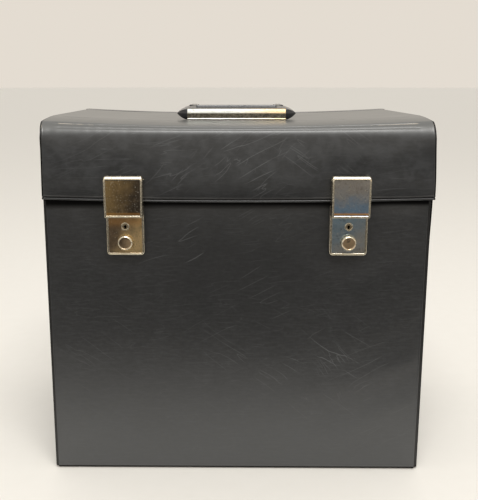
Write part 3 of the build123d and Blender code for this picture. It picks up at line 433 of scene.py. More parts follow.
def graded(length, stations, fine, coarse, reach):
    # places from 0 to length whose spacing is fine near the stations and coarse elsewhere
    s = np.linspace(0, length, 4000)
    density = np.full_like(s, 1 / coarse)
    for station in stations:
        density = np.maximum(density, (1 / fine) * np.exp(-((s - station) / reach) ** 2))
    count = np.concatenate([[0], np.cumsum((density[1:] + density[:-1]) / 2 * np.diff(s))])
    steps = int(math.ceil(count[-1]))
    return np.interp(np.linspace(0, count[-1], steps + 1), count, s)


def smooth(value, low, high):
    t = np.clip((value - low) / (high - low), 0, 1)
    return t * t * (3 - 2 * t)


def bell(value, reach):
    return np.exp(-(value / reach) ** 2)


def over(value):
    return np.clip(value, 0, None)


def grown(distance, reach):
    # 0 up to distance zero, then rising towards 1 over a few reaches
    return 1 - np.exp(-over(distance) / reach)


def middle(low, high):
    return tuple((a + b) / 2 for a, b in zip(low, high))


def cellMiddles(*grids):
    return [(a[:-1, :-1] + a[1:, 1:]) / 2 for a in grids]


def ripples(u, v, wavelength, seed, waves=9):
    # a sum of plane waves in random directions: gentle unevenness between about -1 and 1
    rng = np.random.default_rng(seed)
    total = np.zeros(np.broadcast(u, v).shape)
    for _ in range(waves):
        angle, phase, stretch = rng.uniform(0, 2 * np.pi, 2).tolist() + [rng.uniform(0.7, 1.6)]
        k = 2 * np.pi / (wavelength * stretch)
        total = total + np.sin(k * (u * math.cos(angle) + v * math.sin(angle)) + phase)
    return total / math.sqrt(waves) / 1.6


def pulledIn(u, v):
    # past a rounded corner's centre, concentric squares become concentric circles
    past = (u > 0) & (v > 0)
    pull = np.where(past, np.maximum(u, v) / np.maximum(np.hypot(u, v), 1e-9), 1.0)
    return past, u * pull, v * pull


def addThing(name, data):
    thing = bpy.data.objects.new(name, data)
    bpy.context.scene.collection.objects.link(thing)
    return thing


def makePiece(name, points, faces, finish, body, replaced=(), uv=None, face=None, centre=None,
              thickness=0.0, sharp=None):
    # faces are turned to point away from the centre; a thickness goes to their inner side
    points = np.asarray(points, float).reshape(-1, 3)
    corners = points[faces]
    normal = np.cross(corners[:, 2] - corners[:, 0], corners[:, 3] - corners[:, 1])
    if np.sum(normal * (corners.mean(1) - np.asarray(centre))) < 0:
        faces = faces[:, ::-1]
    mesh = bpy.data.meshes.new(name)
    mesh.from_pydata(points, [], faces)
    if uv is not None:
        layer = mesh.uv_layers.new(name="sheet")
        layer.data.foreach_set("uv", uv.reshape(-1, 2)[faces.ravel()].ravel())
    if face is not None:
        mesh.attributes.new("face", "FLOAT", "POINT").data.foreach_set("value", face.ravel())
    mesh.validate()
    mesh.shade_smooth()
    if sharp:
        mesh.set_sharp_from_angle(angle=math.radians(sharp))
    mesh.materials.append(finish)
    piece = addThing(name, mesh)
    if thickness:
        wall = piece.modifiers.new("wall", "SOLIDIFY")
        wall.thickness, wall.offset, wall.use_even_offset = thickness, -1, False
    if body:
        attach(piece, body)
    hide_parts(*replaced)
    return piece


def soften(piece, width):
    bevel = piece.modifiers.new("edges", "BEVEL")
    bevel.width, bevel.segments, bevel.limit_method, bevel.angle_limit = width, 3, "ANGLE", sharpAngle


def weld(piece):
    # joins the doubled points of poles and seams and turns every face outwards
    shape = bmesh.new()
    shape.from_mesh(piece.data)
    bmesh.ops.remove_doubles(shape, verts=shape.verts, dist=1e-7)
    bmesh.ops.recalc_face_normals(shape, faces=shape.faces)
    shape.to_mesh(piece.data)
    shape.free()


def nodeCopy(name, node, slot, body, cutPoint=None, cutFacing=None):
    # a merged copy of a node's own mesh; what lies behind the cut's plane, where one is given, goes
    shape = bmesh.new()
    shape.from_mesh(cadNodes[node].data)
    bmesh.ops.remove_doubles(shape, verts=shape.verts, dist=1e-6)
    if cutPoint:
        bmesh.ops.bisect_plane(shape, geom=[*shape.verts, *shape.edges, *shape.faces], plane_co=cutPoint,
                               plane_no=cutFacing, clear_inner=True)
    mesh = bpy.data.meshes.new(name)
    shape.to_mesh(mesh)
    shape.free()
    mesh.materials.append(finishes[slot])
    mesh.shade_smooth()
    mesh.set_sharp_from_angle(angle=sharpAngle)
    piece = addThing(name, mesh)
    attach(piece, body)
    return piece


# ---- measures read from the frame
caseLow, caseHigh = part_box("body_cover")
lidLow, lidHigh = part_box("lid_cover")
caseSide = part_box("body_right_cover")[1].x
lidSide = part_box("lid_right_cover")[1].x
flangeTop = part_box("body_left_bead")[1].z
joints = {joint["name"]: joint for joint in frame["joints"]}
latchX = joints["right_hasp_swing"]["pos_m"][0]
sides = (("left", -1), ("right", 1))
caseCentre, lidCentre = (0, 0, 160 * mm), (0, 0, 280 * mm)
# where each sheet lies on the vinyl's own pattern
patternPlace = {"casePanel": 0.6, "lidWrap": 1.0, "lidPanel": 1.6, "hingeSheet": -0.84, "sideStep": 0.2}


# ---- the body's sheets
caseForm = {
    "thickness": 0.8 * mm, "foldRadius": 2.6 * mm, "flangeRise": 1.5 * mm, "narrowing": 0.6 * mm,
    "coarse": 2.6 * mm, "fine": 0.35 * mm, "fineReach": 3.5 * mm,
    # the puff: its height and unevenness, how far below the flange it ends, and how fast it rises from the
    # side welds, from the top and from the foot
    "puff": 0.9 * mm, "unevenness": 0.22 * mm, "puffEnd": 4 * mm, "puffIn": 14 * mm, "puffDown": 20 * mm,
    "puffUp": 26 * mm,
    # two long waves, the second weaker, in front and behind: wavelengths, then the seeds of both
    "frontWaves": (75 * mm, 34 * mm, 3), "backWaves": (80 * mm, 38 * mm, 5), "secondWave": 0.6,
    # the strip outside the side welds, stepped back and painted dark as shade, with its lip, and the lip and
    # groove along the foot
    "stripWidth": 2.5 * mm, "stripDepth": 0.9 * mm, "underDepth": 0.3 * mm,
    "lip": 0.22 * mm, "lipWidth": 0.55 * mm, "lipIn": 0.5 * mm,
    "footLip": (0.9 * mm, 0.25 * mm), "footGroove": (2.0 * mm, 0.2 * mm), "footWidth": 0.5 * mm,
    # the side edges stand out a little, more so between two heights near the top
    "flare": 0.3 * mm, "flareTop": 0.9 * mm, "flareFrom": 215 * mm, "flareTo": 262 * mm,
    # the painted shadow under the lid's hem, a dark band, shorter on the right
    "tuck": 8 * mm, "tuckLoss": 0.4, "tuckFrom": 105 * mm, "tuckTo": 135 * mm,
    # the opening behind each lock
    "cutHalf": 14 * mm, "cutBelow": 2.2 * mm, "cutAbove": 4 * mm,
    # round the locks the rivets hold the sheet flat, out to here
    "quietFrom": 15.6 * mm, "quietTo": 46.8 * mm, "quietStretch": 0.8,
    # soft folds from the side edges: side, height, how far in, rise towards the edge, strength
    "folds": [(1, 0.205, 0.075, 0.34, 0.55), (1, 0.158, 0.060, 0.40, 0.75), (1, 0.112, 0.085, 0.36, 1.0),
              (1, 0.072, 0.070, 0.50, 0.7), (-1, 0.190, 0.045, -0.30, 0.45), (-1, 0.120, 0.050, -0.2, 0.5),
              (1, 0.249, 0.060, -0.05, 0.8)],
    "foldWidth": 9.0 * mm, "foldSpread": 90 * mm, "foldPeak": 12 * mm, "foldHeight": 0.75 * mm,
    "foldBehind": 0.6, "foldDown": 12 * mm, "foldUp": 14 * mm, "foldIn": 3 * mm,
}


def quietNearLocks(x, z):
    # 0 over the locks, rising to 1 away from them
    form = caseForm
    level = middle(*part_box("right_lock_plate"))[2]
    away = np.hypot(np.abs(x) - latchX, (z - level) * form["quietStretch"])
    return smooth(away, form["quietFrom"], form["quietTo"])


def softFolds(x, z):
    # ridges that start at a side edge and die away inwards, each a bell across its own slanting line
    form, total = caseForm, 0
    for side, level, reach, rise, strength in form["folds"]:
        inwards = caseSide - side * x
        width = form["foldWidth"] * (1 + inwards / form["foldSpread"])
        ridge = strength * bell(z - level + inwards * rise, width)
        total = total + ridge * bell(inwards - form["foldPeak"], reach)
    return total * form["foldHeight"]


def wavy(x, z, longWave, shortWave, seed):
    return ripples(x, z, longWave, seed) + caseForm["secondWave"] * ripples(x, z, shortWave, seed + 1)


def caseWrap():
    # one sheet down the front, under the bottom and up the back; x runs across, s along the folded path
    form = caseForm
    fold, top, half = form["foldRadius"], caseHigh.z, caseHigh.x
    front, back = caseLow.y, caseHigh.y
    upright, arc, floor = top - fold, fold * math.pi / 2, back - front - 2 * fold
    total = 2 * upright + 2 * arc + floor
    corners = [upright, upright + arc, upright + arc + floor, total - upright]
    footGap = 1.4 * mm
    stations = [top - flangeTop, corners[0] - footGap, corners[3] + footGap, total - (top - flangeTop)]
    s = graded(total, stations, 0.45 * mm, form["coarse"], 4 * mm)
    welds = [0, form["stripWidth"], 2 * half - form["stripWidth"], 2 * half]
    across = graded(2 * half, welds, form["fine"], form["coarse"], form["fineReach"]) - half
    # turn is the outward normal's angle: 0 to the front, a quarter turn under the case, a half turn behind it
    turn = (np.clip((s - upright) / arc, 0, 1) + np.clip((s - corners[2]) / arc, 0, 1)) * math.pi / 2
    stretch = [s < corners[0], s < corners[1], s <= corners[2], s <= corners[3]]
    bentY, bentZ = -fold * np.cos(turn), fold - fold * np.sin(turn)
    y = np.select(stretch, [front + 0 * s, front + fold + bentY, front + fold + s - corners[1],
                            back - fold + bentY], back)
    z = np.select(stretch, [top - s, bentZ, 0 * s, bentZ], top - (total - s))
    S, X = np.meshgrid(s, across, indexing="ij")
    Y, Z, T = (np.broadcast_to(a[:, None], S.shape) for a in (y, z, turn))
    flange = flangeTop + form["flangeRise"]
    narrow = smooth(Z, flange - form["narrowing"], flange)
    X = X * (1 - narrow * (1 - caseSide / half))
    # rise is the height above the flat sheet
    inner, upper, lower = caseSide - np.abs(X), flangeTop - form["puffEnd"] - Z, Z - fold
    pillow = grown(inner, form["puffIn"]) * grown(upper, form["puffDown"]) * grown(lower, form["puffUp"])
    onBack = T > math.pi * 0.75
    waves = np.where(onBack, wavy(X, Z, *form["backWaves"]), wavy(X, Z, *form["frontWaves"]))
    rise = pillow * (form["puff"] + form["unevenness"] * waves)
    folds = softFolds(np.where(onBack, -X, X), Z)
    folds = folds * grown(upper, form["foldDown"]) * grown(lower, form["foldUp"])
    rise = rise + folds * np.where(onBack, form["foldBehind"], 1.0) * grown(inner, form["foldIn"])
    rise = rise * np.where(onBack, 1.0, quietNearLocks(X, Z))
    under = (T > 0.01) & (T < math.pi - 0.01)
    rise = np.where(under, 0.0, rise)
    flare = form["flare"] + form["flareTop"] * smooth(Z, form["flareFrom"], form["flareTo"])
    X = X + flare * smooth(X / half, 0.9, 1.0) * (1 - narrow)
    # outside the side welds the sheet steps back to a strip, past a small lip; a lip runs along the foot
    inward = half - np.abs(X)
    strip = 1 - smooth(inward, form["stripWidth"] - 0.45 * mm, form["stripWidth"] + 0.1 * mm)
    lip = form["lip"] * bell(inward - form["stripWidth"] - form["lipIn"], form["lipWidth"])
    rise = rise + (lip - form["stripDepth"] * strip - form["underDepth"] * under) * (1 - narrow)
    (lipAt, lipRise), (grooveAt, grooveDepth) = form["footLip"], form["footGroove"]
    foot = lipRise * bell(Z - fold - lipAt, form["footWidth"]) - grooveDepth * bell(
        Z - fold - grooveAt, form["footWidth"])
    rise = rise + np.where(under, 0.0, foot) * (1 - strip)
    # painted shade: the stepped-back strips, the foot where the case meets the floor and a band under the lid's
    # hem are darkened
    dark = np.maximum(strip * (1 - narrow), 1 - smooth(Z, fold - 0.4 * mm, fold + 0.3 * mm))
    tuck = form["tuck"] * (1 - form["tuckLoss"] * smooth(X, form["tuckFrom"], form["tuckTo"]))
    underHem = smooth(Z, flangeTop - tuck, flangeTop - 0.25 * tuck)
    underHem = underHem * (1 - smooth(Z, flangeTop + 0.2 * form["tuck"], flangeTop + 0.9 * form["tuck"]))
    dark = np.maximum(dark, underHem * (Y < 0))
    points = np.stack([X, Y - rise * np.cos(T), over(Z - rise * np.sin(T))], -1)
    # behind each lock the sheet is cut out, so that the button and the key's drum pass through it
    low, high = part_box("right_lock_plate")
    middleX, middleZ = cellMiddles(X, points[..., 2])
    cut = (np.abs(np.abs(middleX) - latchX) < form["cutHalf"]) & (T[:-1, :-1] < 0.01)
    cut &= (middleZ > low.z + form["cutBelow"]) & (middleZ < high.z - form["cutAbove"])
    faces = gridFaces(len(s), len(across))[~cut.ravel()]
    return makePiece("caseWrap", points, faces, finishes["vinyl"], "case", ["body_cover"],
                     np.stack([X, -S], -1), dark, caseCentre, form["thickness"])


# the sheets over the body's sides: how far in and how fast their puff rises from the front and back, the foot
# and the top; its height and unevenness, two waves, and a dip along the front and back edges
casePanelForm = {
    "edge": (2 * mm, 12 * mm), "foot": (3 * mm, 14 * mm), "top": (3 * mm, 16 * mm), "puff": 1.3 * mm,
    "unevenness": 0.32 * mm, "waves": (70 * mm, 32 * mm), "secondWave": 0.7,
    "dip": 0.35 * mm, "dipIn": 2.6 * mm, "dipWidth": 0.8 * mm,
}


def casePanel(name, side):
    # flat sheet over one side, puffed out between its welded edges
    form = casePanelForm
    low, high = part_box("body_" + name + "_cover")
    deep, tall = high.y - low.y, high.z - low.z
    y = graded(deep, [0, deep], 0.5 * mm, caseForm["coarse"], 4 * mm) + low.y
    z = graded(tall, [0, flangeTop - low.z], 0.5 * mm, caseForm["coarse"], 4 * mm) + low.z
    Z, Y = np.meshgrid(z, y, indexing="ij")
    radius = caseForm["foldRadius"] - caseForm["thickness"]
    past, pulledY, pulledZ = pulledIn(over(np.abs(Y) - (high.y - radius)), over(low.z + radius - Z))
    Y = np.where(past, np.sign(Y) * (high.y - radius + pulledY), Y)
    Z = np.where(past, low.z + radius - pulledZ, Z)
    (edge, edgeReach), (foot, footReach), (top, topReach) = form["edge"], form["foot"], form["top"]
    pillow = grown(high.y - edge - np.abs(Y), edgeReach) * grown(Z - foot, footReach)
    pillow = pillow * grown(flangeTop - top - Z, topReach)
    longWave, shortWave = form["waves"]
    wave = ripples(Y, Z, longWave, 11 + side) + form["secondWave"] * ripples(Y, Z, shortWave, 14 + side)
    rise = pillow * (form["puff"] + form["unevenness"] * wave)
    dip = form["dip"] * bell(np.abs(Y) - (high.y - form["dipIn"]), form["dipWidth"]) * (Z < flangeTop)
    points = np.stack([side * (caseSide + rise - dip), Y, Z], -1)
    uv = np.stack([Y * side + patternPlace["casePanel"] + side * patternPlace["sideStep"], Z], -1)
    return makePiece(name + "CasePanel", points, gridFaces(*Z.shape), finishes["vinyl"], "case",
                     ["body_" + name + "_cover"], uv, None, caseCentre, caseForm["thickness"])


caseWrap()
for name, side in sides:
    casePanel(name, side)
print("body sheets made")


# ---- the lid's sheets
lidForm = {
    "thickness": 0.8 * mm, "coarse": 2.4 * mm, "fine": 0.32 * mm, "fineReach": 3.5 * mm,
    "sag": 4.7 * mm, "hemSag": 2.7 * mm, "hemOverrun": 5 * mm, "slopeStart": 50 * mm, "slopeRadius": 300 * mm,
    "noseRadius": 10 * mm, "noseBulge": 3.0 * mm, "noseBevel": 0.28, "bulgeEnd": 0.75, "hemRound": 0.9 * mm,
    "hemTurn": 2.2 * mm, "backTurn": 0.65 * mm, "backReach": 3.4 * mm,
    # pressed lines across the lid: distance behind the front face, depth, width; they end short of the sides
    "lines": [(38.0 * mm, 0.65 * mm, 0.95 * mm), (6.4 * mm, 0.55 * mm, 0.65 * mm),
              (2.9 * mm, 0.30 * mm, 0.5 * mm)],
    "lineEnd": 14 * mm, "lineFade": 3 * mm, "lineWander": 0.12 * mm,
    # lip and groove along the lower edge: height above it, depth, width
    "hem": [(3.6 * mm, -0.24 * mm, 0.55 * mm), (2.3 * mm, 0.90 * mm, 0.50 * mm)],
    "stripWidth": 1.5 * mm, "stripDepth": 0.7 * mm, "lip": 0.22 * mm, "lipIn": 0.5 * mm, "lipWidth": 0.5 * mm,
    # how far each edge leans in: at its foot, then more or less over spans of height; left, then right
    "lean": {-1: (1.2 * mm, [(1.6 * mm, 0.270, 0.318), (-1.8 * mm, 0.316, 0.334)]),
             1: (-0.85 * mm, [(2.75 * mm, 0.272, 0.320), (-0.45 * mm, 0.318, 0.334)])},
    # the puff of the top, the front and the strip between the pressed lines: height and unevenness of each
    "topPuff": (-0.35 * mm, 0.16 * mm), "frontPuff": (1.05 * mm, 0.20 * mm),
    "ridgePuff": (0.5 * mm, 0.05 * mm),
    # how fast it rises from the sides, the first line, the back, the nose and the hem
    "puffIn": 9 * mm, "puffFromLine": 7 * mm, "puffFromBack": 10 * mm, "puffFromNose": 12 * mm,
    "puffFromHem": 5.5 * mm, "quietFrom": 16 * mm, "quietTo": 40 * mm, "puckers": 0.09 * mm,
}
lidMiddle = lidHigh.z - lidForm["sag"]
sagCentre = lidMiddle + (lidHigh.x ** 2 + lidForm["sag"] ** 2) / (2 * lidForm["sag"])
aboveNose = lidForm["slopeRadius"] - lidForm["noseRadius"]
slopeAngle = math.asin((lidForm["slopeStart"] - lidForm["noseRadius"]) / aboveNose)
noseY = lidLow.y + lidForm["noseRadius"]
noseZ = lidMiddle - lidForm["slopeRadius"] + aboveNose * math.cos(slopeAngle)
# where along the sheet the level top, the slope, the nose, the front and the hem's round and turn end
topEnd, slopeEnd, noseEnd, frontEnd, hemEnd, sheetEnd = np.cumsum([
    lidHigh.y - lidLow.y - lidForm["slopeStart"], lidForm["slopeRadius"] * slopeAngle,
    lidForm["noseRadius"] * (math.pi / 2 - slopeAngle), noseZ - lidLow.z - lidForm["hemRound"],
    lidForm["hemRound"] * math.pi / 2, lidForm["hemTurn"]])


def sagged(x, z):
    # heights at mid width carried out along the lid's shallow sag, a circle about a line high above it
    return sagCentre - np.sqrt((sagCentre - z) ** 2 - x ** 2)


def hemLevel(x):
    return lidLow.z + lidForm["hemSag"] * (x / (lidHigh.x + lidForm["hemOverrun"])) ** 2


def lidPath(s, x, depth=0.0):
    # back edge, level top, falling slope, nose, front, then round under the hem: y, z and how far the normal
    # has turned from up
    form = lidForm
    slope, turnIn = form["slopeRadius"], form["hemRound"]
    turn = np.clip((s - topEnd) / slope, 0, slopeAngle)
    turn = turn + np.clip((s - slopeEnd) / form["noseRadius"], 0, math.pi / 2 - slopeAngle)
    turn = turn + np.clip((s - frontEnd) / turnIn, 0, math.pi / 2)
    onTop, onNose, onFront = s < topEnd, s > slopeEnd, s > noseEnd
    y = np.where(onTop, lidHigh.y - s, lidLow.y + form["slopeStart"] - (slope - depth) * np.sin(turn))
    z = np.where(onTop, lidMiddle - depth, lidMiddle - slope + (slope - depth) * np.cos(turn))
    # towards the ends the nose grows taller and flatter, and still ends at one level in front
    lift = sagged(x, noseZ) - noseZ
    bulge = form["noseBulge"] * lift / form["sag"]
    bevel = 1 + form["noseBevel"] * lift / form["sag"]
    nose, startOut, startUp = form["noseRadius"] - depth, math.sin(slopeAngle), math.cos(slopeAngle)
    outward = np.clip((np.sin(turn) - startOut) / (1 - startOut), 0, 1)
    upward = np.clip(np.cos(turn) / startUp, 0, 1)
    y = np.where(onNose, noseY - nose * startOut - (nose * (1 - startOut) + bulge) * outward ** bevel, y)
    z = np.where(onNose, noseZ + (nose * startUp + lift) * upward ** bevel, sagged(x, z))
    share = np.clip((s - noseEnd) / (frontEnd - noseEnd), 0, 1)
    beyond = over(turn - math.pi / 2)
    z = np.where(onFront, noseZ + (hemLevel(x) + turnIn - noseZ) * share - turnIn * np.sin(beyond), z)
    flattening = bulge * (1 - smooth(share, 0, form["bulgeEnd"]))
    y = np.where(onFront, lidLow.y + depth - flattening + turnIn * (1 - np.cos(beyond)), y)
    return y + over(s - hemEnd), z, turn


def leanedHalf(x, z):
    # half width of the lid's sheet at a height, on the side that x is on
    total = 0
    for side, (foot, spans) in lidForm["lean"].items():
        lean = foot + sum(more * smooth(z, low, high) for more, low, high in spans)
        total = total + np.where(side * x > 0, lidHigh.x - lean, 0)
    return total


def hemRelief(height):
    return sum(depth * bell(height - level, width) for level, depth, width in lidForm["hem"])


def lineStation(behind):
    # where along the sheet a line lies that is so far behind the front face, on the nose or on the slope
    form = lidForm
    if behind < form["noseRadius"]:
        return slopeEnd + form["noseRadius"] * (
            math.asin((form["noseRadius"] - behind) / form["noseRadius"]) - slopeAngle)
    return topEnd + form["slopeRadius"] * math.asin((form["slopeStart"] - behind) / form["slopeRadius"])


def lidWrap():
    # one sheet over the top and the front, pressed by weld lines, its lower edge rolled under
    form = lidForm
    half, stripWidth = lidHigh.x, form["stripWidth"]
    lines = [lineStation(behind) for behind, depth, width in form["lines"]]
    hemTop = frontEnd + form["hemRound"]
    hemLines = [hemTop - level for level, depth, width in form["hem"]]
    s = graded(sheetEnd, [0, *lines, *hemLines, hemEnd], 0.28 * mm, form["coarse"], 2.0 * mm)
    welds = [stripWidth, 2 * half - stripWidth]
    across = graded(2 * half, welds, form["fine"], form["coarse"], form["fineReach"]) - half
    S, X0 = np.meshgrid(s, across, indexing="ij")
    X = X0 * np.where(X0 == 0, 1, leanedHalf(X0, lidPath(S, X0)[1]) / half)
    Y, Z, T = lidPath(S, X)
    edge = leanedHalf(X, Z) - np.abs(X)
    inside = grown(edge - stripWidth, form["puffIn"])
    onTop = grown(lines[0] - S, form["puffFromLine"]) * grown(S, form["puffFromBack"])
    onFront = grown(S - noseEnd, form["puffFromNose"]) * grown(hemLines[0] - S, form["puffFromHem"])
    onRidge = over((S - lines[0]) * (lines[1] - S)) / ((lines[1] - lines[0]) / 2) ** 2
    haspLevel = middle(*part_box("right_hasp_cover"))[2]
    quiet = smooth(np.hypot(np.abs(X) - latchX, Z - haspLevel), form["quietFrom"], form["quietTo"])
    wave = ripples(X, S, 60 * mm, 21) + 0.6 * ripples(X, S, 27 * mm, 22)
    (top, topWave), (front, frontWave) = form["topPuff"], form["frontPuff"]
    ridge, ridgeWave = form["ridgePuff"]
    rise = inside * onTop * (top + topWave * wave)
    rise = rise + inside * onFront * quiet * (front + frontWave * wave)
    rise = rise + inside * onRidge * (ridge + ridgeWave * ripples(X, S, 22 * mm, 23))
    fade = smooth(edge, form["lineEnd"] - form["lineFade"], form["lineEnd"] + form["lineFade"])
    for line, (behind, depth, width) in zip(lines, form["lines"]):
        wander = form["lineWander"] * ripples(X, X * 0, 45 * mm, 31 + int(behind / mm))
        rise = rise - depth * fade * bell(S - line - wander, width)
    # small puckers across the ridge, where the strip was pressed
    pressed = smooth(S, lines[0] - 2 * mm, lines[0]) * (1 - smooth(S, noseEnd - 4 * mm, noseEnd + 8 * mm))
    rise = rise + form["puckers"] * pressed * ripples(X, S * 0.25, 11 * mm, 41)
    onSheet = 1 - smooth(S, frontEnd, hemEnd)
    rise = rise - hemRelief(hemTop - S) * onSheet
    strip = 1 - smooth(edge, stripWidth - 0.4 * mm, stripWidth + 0.1 * mm)
    lip = form["lip"] * bell(edge - stripWidth - form["lipIn"], form["lipWidth"])
    rise = rise + (lip - form["stripDepth"] * strip) * onSheet
    points = np.stack([X, Y - rise * np.sin(T), Z + rise * np.cos(T)], -1)
    # painted shade: the stepped-back strips at the sides and the hem's deep groove are darkened
    dark = np.maximum(strip * 0.9, bell(hemTop - S - form["hem"][1][0], form["hem"][1][2]))
    uv = np.stack([X0 + patternPlace["lidWrap"], -S], -1)
    return makePiece("lidWrap", points, gridFaces(*S.shape), finishes["vinyl"], "lid",
                     ["lid_cover"], uv, dark, lidCentre, form["thickness"])


lidEdgeForm = {"overlap": 1 * mm, "inset": 0.25 * mm, "gap": 0.02 * mm, "thickness": 1.8 * mm}


def lidEdge(name, side):
    # the weld strip behind the sheet's edge, following the same path
    form = lidEdgeForm
    start = lidSide - form["overlap"]
    s = graded(frontEnd - 1 * mm, [slopeEnd, noseEnd], 0.8 * mm, 3 * mm, 8 * mm)
    S, share = np.meshgrid(s, [0, 0.35, 0.7, 1.0], indexing="ij")
    Y, Z = lidPath(S, side * lidHigh.x, lidForm["thickness"] + form["gap"])[:2]
    X = side * (start + (leanedHalf(side + 0 * Z, Z) - form["inset"] - start) * share)
    return makePiece(name + "LidEdge", np.stack([X, Y, Z], -1), gridFaces(*S.shape), finishes["weld_bead"],
                     "lid", ["lid_" + name + "_bead"], centre=lidCentre,
                     thickness=form["thickness"])


# the sheets over the lid's sides: how fast their puff rises from the outline, the front, the back and the hem
lidPanelForm = {
    "thickness": 0.6 * mm, "puff": 0.8 * mm, "unevenness": 0.2 * mm, "wave": 50 * mm, "frontInset": 2 * mm,
    "fromTop": 8 * mm, "fromFront": 8 * mm, "fromBack": 6 * mm, "fromHem": 6 * mm, "bendLength": 1.4 * mm,
}


def lidPanel(name, side):
    # sheet over one side of the lid: each column runs from the lower edge to the lid's outline
    form, panel = lidForm, lidPanelForm
    turnIn, hem = form["hemRound"], hemLevel(lidSide)
    a = graded(frontEnd, [slopeEnd, noseEnd, frontEnd], 0.8 * mm, form["coarse"], 6 * mm)
    outY, outZ = lidPath(a, lidSide, form["thickness"])[:2]
    baseY = lidHigh.y + (lidLow.y + form["thickness"] - lidHigh.y) * (a / frontEnd)
    V, Y0 = np.meshgrid(graded(1.0, [0.04, 1], 0.006, 0.05, 0.07), baseY, indexing="ij")
    Y = Y0 + (outY[None, :] - Y0) * V
    Z = hem + turnIn + (outZ[None, :] - hem - turnIn) * V
    pillow = grown(outZ[None, :] - Z, panel["fromTop"])
    pillow = pillow * grown(Y - lidLow.y - panel["frontInset"], panel["fromFront"])
    pillow = pillow * grown(lidHigh.y - Y, panel["fromBack"])
    pillow = pillow * grown(Z - hem - form["hem"][0][0], panel["fromHem"])
    rise = pillow * (panel["puff"] + panel["unevenness"] * ripples(Y, Z, panel["wave"], 51 + side))
    rise = rise - hemRelief(Z - hem)
    sheet = np.stack([side * (lidSide + rise), Y, Z], -1)
    # below it the sheet turns under the hem, and past its back edge it is folded in over the board
    around = np.linspace(1, 0, 6)[:, None]
    bend, foot = around * math.pi / 2, Y0[:1]
    under = np.stack([side * (lidSide - turnIn * (1 - np.cos(bend)) + 0 * foot), foot + 0 * bend,
                      hem + turnIn * (1 - np.sin(bend)) + 0 * foot], -1)
    underHem = under[:1] - np.array([side * form["hemTurn"], 0, 0])
    points = np.concatenate([underHem, under[:-1], sheet], 0)
    turned = points[:, :1] + np.array([0, form["backTurn"], 0])
    inside = turned - np.array([side * form["backReach"], 0, 0])
    inside[:2] = turned[:2]
    points = np.concatenate([inside, turned, points], 1)
    bendLength = panel["bendLength"]
    along = np.concatenate([[-form["hemTurn"] - bendLength], -bendLength * around[:-1, 0], 0 * V[:, 0]])
    place = patternPlace["lidPanel"] + side * patternPlace["sideStep"]
    uv = np.stack([points[..., 1] * side + place, points[..., 2] + along[:, None]], -1)
    return makePiece(name + "LidPanel", points, gridFaces(*points.shape[:2]), finishes["vinyl"], "lid",
                     ["lid_" + name + "_cover"], uv, None, lidCentre, panel["thickness"])


hingeForm = {"lap": 14 * mm, "drop": 10 * mm, "round": 1.2 * mm, "proud": 0.10 * mm, "thickness": 0.5 * mm,
             "widening": 9 * mm, "inset": 0.2 * mm, "bendFrom": 0.4 * mm, "bendPast": 1.2 * mm}


def hingeSheet():
    # the cover's own sheet, up the back and over on to the lid
    form = hingeForm
    half = lidHigh.x - form["inset"]
    r, proud, back = form["round"], form["proud"], caseHigh.y + form["proud"]
    x = (graded(2 * half, [0, 2 * half], 0.5 * mm, 3 * mm, 4 * mm) - half)[None, :]
    top, bottom = sagged(x, lidMiddle) + proud, caseHigh.z - form["drop"]
    v = np.linspace(0, 1, 12)[:, None]
    arc = np.linspace(0, math.pi / 2, 14)[1:, None]
    # up the back, round the edge, forward over the lid
    Y = np.concatenate([back - proud * (1 - smooth(v, 0, 0.1)) + 0 * x, back - r + r * np.cos(arc) + 0 * x,
                        back - r - form["lap"] * v[1:] + 0 * x])
    Z = np.concatenate([bottom + (top - r - bottom) * v, top - r + r * np.sin(arc),
                        top - proud * smooth(v[1:], 0.9, 1.0)])
    wide = smooth(Z, caseHigh.z, caseHigh.z + form["widening"])
    X = x * (1 - (1 - wide) * (1 - caseSide / half))
    length = np.concatenate([0 * x, np.cumsum(np.hypot(np.diff(Y, axis=0), np.diff(Z, axis=0)), 0)])
    uv = np.stack([X, length + patternPlace["hingeSheet"]], -1)
    piece = makePiece("hingeSheet", np.stack([X, Y, Z], -1), gridFaces(*Y.shape), finishes["vinyl"], None,
                      ["hinge_strip"], uv, None, caseCentre, form["thickness"])
    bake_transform(piece)
    return piece


lidWrap()
for name, side in sides:
    lidPanel(name, side)
    lidEdge(name, side)
hingeSheet()
print("lid sheets made")


# ---- hasps and locks
haspForm = {
    "wall": 0.68 * mm, "edge": 1.0 * mm, "rollEdge": 1.9 * mm, "roll": 3.8 * mm, "cheekRise": 1.5 * mm,
    "rim": 1.55 * mm, "rimAbove": 0.6 * mm, "dish": 0.42 * mm, "hollow": 0.12 * mm, "dings": 0.02 * mm,
    "slope": 0.55 * mm, "overhang": 1.3 * mm, "taper": 0.03, "openBehind": -0.15 * mm,
}


def haspSideView(low, high, pin):
    # from the back of the lower edge, forward, up the face, over the roll and back: y, z and outward normals
    form = haspForm
    r, roll = form["edge"], form["roll"]
    bend = np.linspace(0, math.pi / 2, 10)
    tall = pin.z - low.z - r
    face = graded(tall, [0, form["rim"] + form["slope"], tall], 0.12 * mm, 0.8 * mm, 1.6 * mm)
    back = np.linspace(high.y, low.y + r, 7)[:-1]
    cheek = np.linspace(0, 1, 6)[1:]
    cheekEnd = pin.z + form["cheekRise"]
    y = np.concatenate([back, low.y + r - r * np.sin(bend), low.y + 0 * face[1:],
                        pin.y - roll * np.cos(bend[1:]), pin.y + (high.y - pin.y) * cheek])
    z = np.concatenate([low.z + 0 * back, low.z + r - r * np.cos(bend), low.z + r + face[1:],
                        pin.z + roll * np.sin(bend[1:]), high.z + (cheekEnd - high.z) * cheek])
    dy, dz = np.gradient(y), np.gradient(z)
    size = np.hypot(dy, dz)
    return y, z, -dz / size, dy / size


